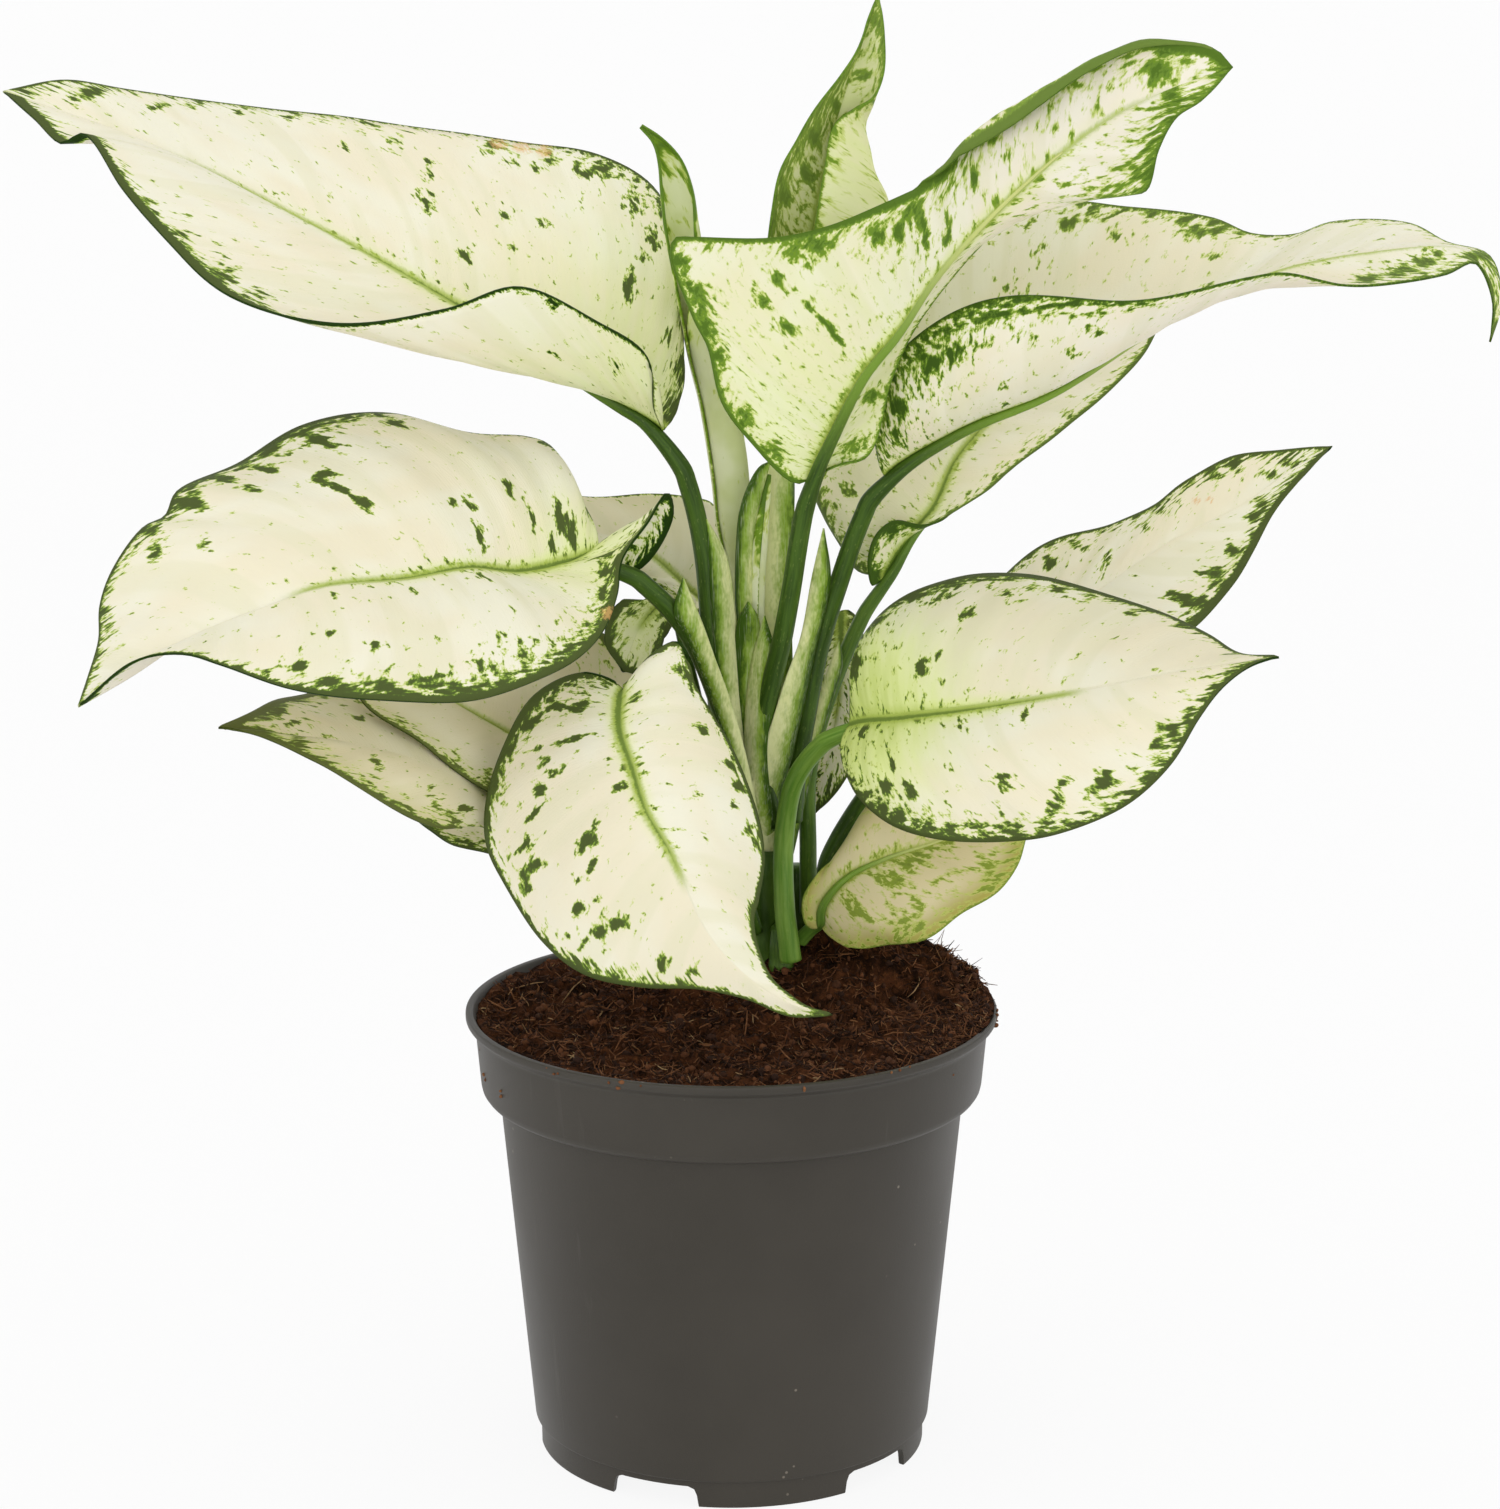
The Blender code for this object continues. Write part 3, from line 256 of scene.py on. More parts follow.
def smooth_path(points, count):
    """Points at even steps on a smooth curve through the given points (centripetal Catmull-Rom)."""
    points = np.asarray(points, float)
    points = np.vstack([2 * points[0] - points[1], points, 2 * points[-1] - points[-2]])
    dense = []
    for before, start, end, after in zip(points, points[1:], points[2:], points[3:]):
        k1 = max(np.linalg.norm(start - before) ** .5, TINY)
        k2 = k1 + max(np.linalg.norm(end - start) ** .5, TINY)
        k3 = k2 + max(np.linalg.norm(after - end) ** .5, TINY)
        for k in np.linspace(k1, k2, SPLINE_STEPS, endpoint=False):
            a1 = (k1 - k) / k1 * before + k / k1 * start
            a2 = (k2 - k) / (k2 - k1) * start + (k - k1) / (k2 - k1) * end
            a3 = (k3 - k) / (k3 - k2) * end + (k - k2) / (k3 - k2) * after
            b1 = (k2 - k) / k2 * a1 + k / k2 * a2
            b2 = (k3 - k) / (k3 - k1) * a2 + (k - k1) / (k3 - k1) * a3
            dense.append((k2 - k) / (k2 - k1) * b1 + (k - k1) / (k2 - k1) * b2)
    dense = np.array(dense + [points[-2]])
    places = lengths_along(dense)
    return points_at(dense, places, np.linspace(0, places[-1], count))


def blend(values, share):
    """Values given at even stations, read smoothly at a share of the way (0 to 1)."""
    values = np.asarray(values, float)
    values = np.r_[2 * values[0] - values[1], values, 2 * values[-1] - values[-2]]
    place = np.clip(share, 0, 1) * (len(values) - 3)
    cell = np.minimum(np.asarray(place).astype(int), len(values) - 4)
    f = place - cell
    v0, v1, v2, v3 = (values[cell + k] for k in range(4))
    return .5 * (2 * v1 + (v2 - v0) * f + (2 * v0 - 5 * v1 + 4 * v2 - v3) * f ** 2
                 + (3 * v1 - v0 - 3 * v2 + v3) * f ** 3)


def read(stations, share):
    """Points given at even stations, read at a share of the way."""
    return points_at(stations, np.linspace(0, 1, len(stations)), share)


class LeafShape:
    """A leaf's stalk and rib, and the curved surface that its blade follows."""

    def __init__(self, spec):
        self.spec = spec
        base = np.array(spec["stalk"][-1], float)
        whole = smooth_path([seat(spec)] + spec["stalk"] + spec["rib"], LEAF_POINTS)
        split = int(np.argmin(np.linalg.norm(whole - base, axis=1)))
        self.stalk = whole[:split + 1]
        places = lengths_along(whole[split:])
        self.length = places[-1]
        self.rib = points_at(whole[split:], places, np.linspace(0, self.length, RIB_POINTS))
        self.along = unit(np.gradient(self.rib, axis=0))
        self.margins = [smooth_path([base] + spec[side] + [spec["rib"][-1]], MARGIN_POINTS)
                        for side in ("left", "right")]

    def row(self, step, side, reach):
        """Points on one side vein, from the rib (reach 0) to the margin (reach 1)."""
        index = 0 if side < 0 else 1
        share = step ** self.spec["sweep"]
        start, end = read(self.rib, share), read(self.margins[index], step)
        along = unit(read(self.along, share))
        chord = end - start
        span = np.linalg.norm(chord)
        upward = side * unit(np.cross(chord, along))
        bow = blend(self.spec["bow"][index], step)
        middle = (start + end) / 2 + upward * 2 * bow * span - along * 2 * VEIN_BEND * span
        reach = np.asarray(reach, float)[:, None]
        return (1 - reach) ** 2 * start + 2 * reach * (1 - reach) * middle + reach ** 2 * end


def cane_radius(cane, height):
    cane = CANES[cane]
    return float(np.interp(height, [cane["shoulder"], cane["top"]], [cane["radius"], cane["tip_radius"]]))


def seat(spec):
    """The foot of a stalk: beside its cane, or on the cane's top where it has no azimuth."""
    x, y = CANES[spec["cane"]]["axis"]
    height = spec["height"]
    if spec["azimuth"] is None:
        return (x, y, height + CLEARANCE)
    reach = cane_radius(spec["cane"], height) + spec["foot_radius"] + CLEARANCE
    return (x + reach * cos(radians(spec["azimuth"])), y + reach * sin(radians(spec["azimuth"])), height)


# ---------------------------------------------------------------- Blender helpers

WHITE = (1, 1, 1, 1)
SUBSURFACE_RADIUS = (1, 1, .7)
SUBSURFACE_SCALE = .002
MIX_COLOUR_INPUTS = (0, 6, 7)      # a Mix node also has sockets for numbers and vectors
MIX_COLOUR_OUTPUT = 2


class Graph:
    """Short names for the nodes of one material or world."""

    def __init__(self, item, shader="Principled BSDF"):
        item.use_nodes = True
        self.item = item
        self.nodes = item.node_tree.nodes
        self.links = item.node_tree.links
        self.shader = self.nodes[shader]

    def set(self, socket, value):
        if isinstance(value, bpy.types.NodeSocket):
            self.links.new(value, socket)
        else:
            socket.default_value = value

    def node(self, kind, *values, output=0, named=None, **settings):
        """A new node's output. Its first inputs get the values, and others get theirs by name."""
        node = self.nodes.new("ShaderNode" + kind)
        for name, value in settings.items():
            setattr(node, name, value)
        for socket, value in zip(node.inputs, values):
            self.set(socket, value)
        for name, value in (named or {}).items():
            self.set(node.inputs[name], value)
        return node.outputs[output]

    def plus(self, first, second):
        return self.node("Math", first, second, operation="ADD")

    def minus(self, first, second):
        return self.node("Math", first, second, operation="SUBTRACT")

    def times(self, first, second):
        return self.node("Math", first, second, operation="MULTIPLY")

    def scaled(self, value, factor, offset):
        return self.node("Math", value, factor, offset, operation="MULTIPLY_ADD")

    def larger(self, first, second):
        return self.node("Math", first, second, operation="MAXIMUM")

    def step(self, value, low, high, result_low=0.0, result_high=1.0):
        """A smooth rise from one result to the other while the value goes from low to high."""
        return self.node("MapRange", value, low, high, result_low, result_high,
                         interpolation_type="SMOOTHSTEP")

    def mix(self, factor, first, second):
        node = self.nodes.new("ShaderNodeMix")
        node.data_type = "RGBA"
        for index, value in zip(MIX_COLOUR_INPUTS, (factor, first, second)):
            self.set(node.inputs[index], value)
        return node.outputs[MIX_COLOUR_OUTPUT]

    def layered(self, colour, *layers):
        """Colours laid on one another: what drives each, where it sets in and is full, how much, and it."""
        for value, low, high, amount, top in layers:
            colour = self.mix(self.step(value, low, high, 0, amount), colour, top)
        return colour

    def attribute(self, name, output="Fac"):
        return self.node("Attribute", output=output, attribute_name=name)

    def place(self):
        return self.node("TexCoord", output="Object")

    def stretched(self, vector, scale):
        return self.node("Mapping", vector, named=dict(Scale=scale))

    def noise(self, vector, scale, detail=2.0, roughness=.5, distortion=0.0):
        """Noise of one scale, or of one for each axis."""
        if isinstance(scale, tuple):
            vector, scale = self.stretched(vector, scale), 1
        return self.node("TexNoise", vector, output="Fac", named=dict(
            Scale=scale, Detail=detail, Roughness=roughness, Distortion=distortion))

    def bump(self, height, strength, distance):
        named = dict(Strength=strength, Distance=distance, Height=height)
        self.set(self.shader.inputs["Normal"], self.node("Bump", named=named))

    def finish(self, colour, roughness, **plain):
        self.set(self.shader.inputs["Base Color"], colour)
        self.set(self.shader.inputs["Roughness"], roughness)
        self.shader.inputs["Subsurface Radius"].default_value = SUBSURFACE_RADIUS
        self.shader.inputs["Subsurface Scale"].default_value = SUBSURFACE_SCALE
        for name, value in plain.items():
            self.shader.inputs[name.replace("_", " ")].default_value = value
        return self.item

    def show_white(self, kind, share, output):
        """Looks white to the camera, in reflections and through clear things, whatever its light."""
        rays = self.nodes.new("ShaderNodeLightPath").outputs
        direct = self.plus(self.plus(rays["Is Camera Ray"], rays["Is Glossy Ray"]),
                           rays["Is Transmission Ray"])
        both = self.node("MixShader", self.times(direct, share), self.shader.outputs[0],
                         self.node(kind, WHITE, 1))
        self.links.new(both, self.nodes[output].inputs["Surface"])


def rgb(red, green, blue):
    """A colour given as it looks on screen (0 to 255)."""
    linear = [(c / 255 / 12.92) if c <= 10 else ((c / 255 + .055) / 1.055) ** 2.4 for c in (red, green, blue)]
    return (*linear, 1)


def add_object(name, data):
    item = bpy.data.objects.new(name, data)
    bpy.context.scene.collection.objects.link(item)
    return item


def piece(name, vertices, faces, material, nodes, attributes=None):
    """A mesh (mm) that stands for CAD nodes and carries named values on its points."""
    data = bpy.data.meshes.new(name)
    data.from_pydata((np.asarray(vertices, float) * MM).tolist(), [], faces)
    data.update()
    for label, values in (attributes or {}).items():
        values = np.asarray(values, np.float32)
        kind, key = ("FLOAT", "value") if values.ndim == 1 else ("FLOAT_VECTOR", "vector")
        data.attributes.new(label, kind, "POINT").data.foreach_set(key, values.ravel())
    data.shade_smooth()
    item = add_object(name, data)
    for each in material if isinstance(material, list) else [material]:
        data.materials.append(each)
    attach(item, "root")
    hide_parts(*nodes)
    return item


def thicken(item, thickness, other_side=0):
    """Gives a sheet its thickness. The other side takes a material further on in the list."""
    shell = item.modifiers.new("thickness", "SOLIDIFY")
    shell.thickness = thickness * MM
    shell.offset = 0
    shell.material_offset = other_side


def grid_faces(rows, columns, start=0, closed=False):
    """Quads over a grid of points, row by row."""
    faces = []
    for row in range(rows - 1):
        for column in range(columns - (0 if closed else 1)):
            a = start + row * columns + column
            b = start + row * columns + (column + 1) % columns
            faces.append((a, b, b + columns, a + columns))
    return faces


def closed_rings(rings, first, last):
    """Vertices and faces of a stack of rings that a point closes at either end."""
    count, sides = rings.shape[:2]
    vertices = np.vstack([rings.reshape(-1, 3), [first], [last]])
    faces = grid_faces(count, sides, closed=True)
    end = (count - 1) * sides
    for k in range(sides):
        after = (k + 1) % sides
        faces.append((len(vertices) - 2, after, k))
        faces.append((len(vertices) - 1, end + k, end + after))
    return vertices, faces


NOISE_VALUES = 4096
NOISE_KEYS = (73856093, 19349663, 83492791)


def lattice_noise(points, size, seed):
    """Smooth random values between -1 and 1, with lumps of the given size."""
    table = np.random.default_rng(seed).uniform(-1, 1, NOISE_VALUES)
    places = np.asarray(points, float) / size
    cell = np.floor(places).astype(int)
    f = places - cell
    f = f * f * (3 - 2 * f)
    total = 0
    for corner in np.ndindex(2, 2, 2):
        weight = np.where(corner, f, 1 - f)
        x, y, z = np.moveaxis((cell + corner) * NOISE_KEYS, -1, 0)
        value = table[(x ^ y ^ z) & (NOISE_VALUES - 1)]
        total = total + weight[..., 0] * weight[..., 1] * weight[..., 2] * value
    return total


# ---------------------------------------------------------------- leaf blades

BLADE_THICKNESS = .5
ROWS = 112
HALF_COLUMNS = 25
SIDES = np.r_[-np.ones(HALF_COLUMNS), np.ones(HALF_COLUMNS + 1)]     # left and right half of a row
COLUMN_SPREAD = 1.1     # above 1 the columns stand closer together beside the rib
QUILT = .15             # height of the swelling between side veins
VEIN_SPACING = 8.5
WOBBLE, WOBBLE_SIZE = .5, 17
WAVE_SHIFT = 1.7        # how far the two margins' waves are out of step
MARGIN_LINE = .35       # width of the solid green along every margin
MARK_WIDTHS = (2.6, 7)  # narrow marks run on along their vein, wide ones break up
MARK_HOLDS = (1.85, 1.2)
USUAL_MARK = .9         # strength of a mark that gives none of its own
MARK_CORE = .44         # the part of a mark's size in which it is at its strongest
MARK_STEP = .04         # how far apart the direction of a side vein is read
RIM_FALL = 1.3          # how sharply the margin's green ends
EDGE_SPECKS, EDGE_SPECK_WIDTH = .25, 6
OUTLINE_POINTS, MIDRIB_POINTS = 500, 400
VEIN_RUN = 1.1          # places in the leaf's pattern, along the rib
HALVES_APART = 300      # and how far apart its halves, and the leaves, lie in that pattern
LEAVES_APART = 50
RIB_FLECKS = .62        # how green the leaf is beside its rib
RIB_FLECK_WIDTH = 2.5
RIB_WIDTH = 1.5
HEM_RADIUS = 1.5
HEM_ANGLE = radians(172)
SHORTEST_HEM = .5
USUAL_LOOK = dict(wave=(.8, 3.5), bands=(.08, .08), tint=(.3, .3), speck=.12, faded=0, age_and_warm_shade=0, hem={},
                  left_marks=(), right_marks=(), stains=())


def folded(points, upward, length, reaches):
    """A row of points that ends in a narrow fold, turned back over the leaf by the given length."""
    places = lengths_along(points)
    radius = min(HEM_RADIUS, length / 4)
    start = places[-1] - radius
    distance = reaches * (start + length)
    pivot = points_at(points, places, start)
    direction = unit(points[-1] - pivot)
    upward = unit(upward - (upward @ direction) * direction)
    past = np.maximum(distance - start, 0)
    angle = np.minimum(past / radius, HEM_ANGLE)
    rest = np.maximum(past - HEM_ANGLE * radius, 0)
    out = radius * np.sin(angle) + rest * cos(HEM_ANGLE)
    up = radius * (1 - np.cos(angle)) + rest * sin(HEM_ANGLE)
    bent = pivot + out[:, None] * direction + up[:, None] * upward
    return np.where(past[:, None] > 0, bent, points_at(points, places, distance))


def blade_grid(shape, look):
    """Points of the blade, rows along the side veins, from the left margin to the right one."""
    reaches = np.linspace(0, 1, HALF_COLUMNS + 1) ** COLUMN_SPREAD
    steps = np.linspace(0, 1, ROWS + 2)[1:-1]
    grid = np.zeros((ROWS, 2 * HALF_COLUMNS + 1, 3))
    for index, step in enumerate(steps):
        for side in (-1, 1):
            points = shape.row(step, side, reaches)
            lengths, sign = look["hem"].get(side, ((0, 0), 1))
            length = float(blend(lengths, step))
            if length > SHORTEST_HEM:
                dense = shape.row(step, side, np.linspace(0, 1, 80))
                along = unit(read(shape.along, step ** shape.spec["sweep"]))
                upward = sign * side * unit(np.cross(points[-1] - points[0], along))
                points = folded(dense, upward, length, reaches)
            if side < 0:
                grid[index, :HALF_COLUMNS + 1] = points[::-1]
            else:
                grid[index, HALF_COLUMNS:] = points
    reach = np.abs(np.r_[-reaches[::-1], reaches[1:]])
    normals = unit(np.cross(np.gradient(grid, axis=1), np.gradient(grid, axis=0)))
    count = shape.length / VEIN_SPACING
    quilt = QUILT * np.cos(2 * pi * count * steps)[:, None] * np.sin(pi * reach)[None, :] ** .8
    height, waves = look["wave"]
    wave = (height * np.sin(2 * pi * waves * steps[:, None] + WAVE_SHIFT * SIDES[None, :] + look["seed"])
            * reach[None, :] ** 2.5 * np.sin(pi * steps)[:, None])
    wobble = WOBBLE * lattice_noise(grid + 40 * look["seed"], WOBBLE_SIZE, 3) * reach[None, :] ** .5
    grid += normals * (quilt + wave + wobble)[..., None]
    return grid, steps, reach


def nearest(points, line, batch=4000):
    """Distance from each point to the nearest point of a line."""
    result = [np.sqrt(((points[k:k + batch, None] - line[None]) ** 2).sum(-1)).min(1)
              for k in range(0, len(points), batch)]
    return np.concatenate(result)


def vein_mark(shape, grid, sign, step, out, length, width, strength=USUAL_MARK):
    """How green one mark makes each point: it lies along a side vein, at a reach from the rib."""
    place = shape.row(step, sign, [out])[0]
    before, after = shape.row(step, sign, [max(out - MARK_STEP, 0), min(out + MARK_STEP, 1)])
    offset = grid - place
    along = offset @ unit(after - before)
    across = np.sqrt(np.maximum((offset ** 2).sum(-1) - along ** 2, 0))
    strength = np.interp(width, MARK_WIDTHS, MARK_HOLDS) * strength
    return strength * np.exp(-(along / (MARK_CORE * length)) ** 2 - (across / (MARK_CORE * width)) ** 2)


def blade_values(shape, look, grid, steps, reach):
    """What the leaf material reads on each point: distances, vein places and how green it may get."""
    share = np.repeat(steps[:, None], len(reach), 1)
    side = SIDES[None, :]
    left, right, middle = grid[:, 0], grid[:, -1], grid[:, HALF_COLUMNS]
    flat = grid.reshape(-1, 3)
    ends = np.array([shape.rib[0], shape.rib[-1]])
    outline = [smooth_path(line, OUTLINE_POINTS) for line in (left, right)]
    edge = nearest(flat, np.vstack(outline + [ends[1:]]))
    rib = nearest(flat, smooth_path(np.vstack([ends[:1], middle, ends[1:]]), MIDRIB_POINTS))
    spacing = np.linalg.norm(np.diff(grid, axis=1), axis=2)
    gone = np.concatenate([np.zeros((ROWS, 1)), np.cumsum(spacing, axis=1)], 1)
    from_margin = np.minimum(gone, gone[:, -1:] - gone)
    from_rib = np.abs(gone - gone[:, HALF_COLUMNS][:, None])
    edge = np.maximum(edge.reshape(share.shape), .5 * from_margin)
    rib = np.maximum(rib.reshape(share.shape), .5 * from_rib)
    spans = np.where(side < 0, np.linalg.norm(left - middle, axis=1)[:, None],
                     np.linalg.norm(right - middle, axis=1)[:, None])
    vein = np.stack([share * shape.length * VEIN_RUN, side * (reach[None, :] * spans + HALVES_APART),
                     np.full(share.shape, float(LEAVES_APART * look["seed"]))], -1)
    green, band = np.zeros(share.shape), np.zeros(share.shape)
    for index, sign in enumerate((-1, 1)):
        here = side == sign
        strengths, widths = look["rim"][index]
        strength, width = blend(strengths, share), np.maximum(blend(widths, share), .3)
        green = np.where(here, strength * np.exp(-(edge / width) ** RIM_FALL), green)
        band = np.where(here, MARGIN_LINE + look["bands"][index] * strength * width, band)
    for sign, marks in ((-1, look["left_marks"]), (1, look["right_marks"])):
        for mark in marks:
            green = np.maximum(green, np.where(side == sign, vein_mark(shape, grid, sign, *mark), 0))
    rib_share = share ** shape.spec["sweep"]
    strength, fade = look["rib"]
    ribmark = strength * np.clip((fade - rib_share) / (.45 * fade), 0, 1)
    green = np.maximum(green, RIB_FLECKS * ribmark * np.exp(-rib / RIB_FLECK_WIDTH))
    tint_amount, tint_reach = look["tint"]
    distance = np.linalg.norm(grid - shape.rib[0], axis=-1)
    tint = tint_amount * np.exp(-(distance / (tint_reach * shape.length)) ** 2)
    stain = np.zeros(share.shape)
    for sign, step, out, size in look["stains"]:
        place = shape.row(step, sign, [out])[0]
        stain = np.maximum(stain, np.exp(-(np.linalg.norm(grid - place, axis=-1) / size) ** 2))
    return dict(vein=vein, edge=edge, rib=rib, green=green, band=band, ribmark=ribmark, tint=tint,
                speck=look["speck"] + EDGE_SPECKS * np.exp(-edge / EDGE_SPECK_WIDTH),
                faded=np.full(share.shape, look["faded"]), age_and_warm_shade=np.full(share.shape, look["age_and_warm_shade"]),
                ribwide=RIB_WIDTH * np.clip(1 - rib_share, .15, 1), stain=stain)


def with_ends(values, first, last):
    """A grid of values as a flat list with one value before it and one after it."""
    return np.concatenate([[first], values.reshape(-1, *values.shape[2:]), [last]])


def build_blade(name, shape, look, materials):
    grid, steps, reach = blade_grid(shape, look)
    columns = len(reach)
    vertices = with_ends(grid, shape.rib[0], shape.rib[-1])
    attributes = {label: with_ends(array, array[0, HALF_COLUMNS], array[-1, HALF_COLUMNS])
                  for label, array in blade_values(shape, look, grid, steps, reach).items()}
    faces = grid_faces(ROWS, columns, 1)
    tip = len(vertices) - 1
    last = 1 + (ROWS - 1) * columns
    for column in range(columns - 1):
        faces.append((0, 1 + column + 1, 1 + column))
        faces.append((last + column, last + column + 1, tip))
    blade = piece(name + "_blade", vertices, [face[::-1] for face in faces], materials, [name],
                  attributes)
    thicken(blade, BLADE_THICKNESS, 1)


# ---------------------------------------------------------------- stalks and sheaths

TUBE_SIDES = 20
STALK_RINGS = 170
STALK_STEPS = 80        # points on the stalk's own line, and on the keel under the blade
KEEL_STEPS = 60
KEEL_START = .012
KEEL_SHARE = .72        # the share of the rib along which the stalk runs on as a keel
GRAIN_WIDTH = 2.5       # how the streaks of a stalk are stretched, around it and along it
GRAIN_LENGTH = .08


def tube_points(path, radii, sides):
    """Rings of points round a path, with steady ring directions."""
    path = np.asarray(path, float)
    along = unit(np.gradient(path, axis=0))
    across = np.zeros_like(path)
    across[0] = unit(np.cross(along[0], (0, 1, 0)))
    for k in range(1, len(path)):
        across[k] = unit(across[k - 1] - (across[k - 1] @ along[k]) * along[k])
    other = np.cross(along, across)
    angles = (np.arange(sides) * 2 * pi / sides)[None, :, None]
    return (path[:, None] + np.asarray(radii)[:, None, None]
            * (np.cos(angles) * across[:, None] + np.sin(angles) * other[:, None]))


def tube(path, radii, sides=TUBE_SIDES):
    """Vertices, faces and the ring number of each vertex of a tube with closed ends."""
    vertices, faces = closed_rings(tube_points(path, radii, sides), path[0], path[-1])
    ring = np.r_[np.repeat(np.arange(len(path)), sides), 0, len(path) - 1]
    return vertices, [face[::-1] for face in faces], ring


def rib_upward(shape, share):
    """The upper side's direction at the rib."""
    step = max(share, .004) ** (1 / shape.spec["sweep"])
    along = unit(read(shape.along, share))
    left = shape.row(step, -1, [0, .1])
    right = shape.row(step, 1, [0, .1])
    upper = (unit(np.cross(along, left[1] - left[0])) + unit(np.cross(right[1] - right[0], along)))
    return unit(upper)


def stalk_line(shape, radius):
    """The stalk's centre line, which runs on under the blade as its keel, and its radii."""
    shares = np.linspace(KEEL_START, KEEL_SHARE, KEEL_STEPS)
    keel_radii = radius * .9 * (1 - .88 * (shares / KEEL_SHARE) ** .5)
    keel = np.array([read(shape.rib, s) - rib_upward(shape, s) * r for s, r in zip(shares, keel_radii)])
    stalk = smooth_path(shape.stalk[::40], STALK_STEPS)[:-3]
    return np.vstack([stalk, keel]), len(stalk), keel_radii


def build_stalk(name, shape, radii, material, tone):
    line, count, keel_radii = stalk_line(shape, radii[1])
    places = lengths_along(line)
    known = np.r_[np.interp(np.linspace(0, 1, count), [0, .15, 1], [radii[0], radii[0] * .95, radii[1]]),
                  keel_radii]
    spread = np.interp(np.linspace(0, places[-1], STALK_RINGS), places, known)
    spread[-1] = .15
    vertices, faces, ring = tube(smooth_path(line[::3], STALK_RINGS), spread)
    blade_start = places[count] / places[-1]
    along = ring / (STALK_RINGS - 1)
    value = np.where(along < blade_start, .5 * along / blade_start,
                     .5 + .5 * (along - blade_start) / (1 - blade_start))
    around = 2 * pi * np.arange(len(along)) / TUBE_SIDES
    run = np.stack([along * places[-1] * GRAIN_LENGTH, GRAIN_WIDTH * np.cos(around),
                    GRAIN_WIDTH * np.sin(around)], -1)
    piece(name + "_stalk", vertices, faces, material, [name],
          dict(along=value, tone=np.full(len(along), tone), run=run))


# Young leaves still rolled up: the cane and place, the further points with the radius there, the
# turns that the sheet makes at even stations, and where round the roll its free edge lies (0 is the
# front, 90 the right)
FURLED = {
    "leaf_small_furled": dict(
        cane="main_cane", azimuth=100, height=144, foot_radius=2.2,
        path=[(5, 24, 160, 2.3), (3, 23, 178, 2.5), (3, 22, 190, 2.8), (2, 22, 200, 3.3), (.5, 22, 210, 3.9),
            (0, 21.5, 219, 4.3), (-1, 21, 227, 4.4), (-3, 20, 238, 4.2), (-5.5, 18, 248, 4), (-9, 14, 268, 4),
            (-10.5, 12.5, 277, 4.1), (-11.5, 12, 285, 3.9), (-13, 12, 291, 2.9), (-16, 12, 296, 1.2),
            (-19.5, 12, 299, .4)],
        turns=(1.3, 1.3, 1.3, 1.3, 1.3, 1.25, 1.1, .8, .62, .5), free_edge=-62),
    "spear_bud": dict(
        cane="main_cane", azimuth=None, height=150, foot_radius=2.2,
        path=[(7, 17, 160, 2.2), (6, 15, 173, 2.2), (5.8, 13.5, 187, 1.6), (6, 13, 200, 1.7),
            (7, 13, 212, 1.5), (8.3, 13, 222, .5)],
        turns=(1.4, 1.4, 1.4), free_edge=10),
}

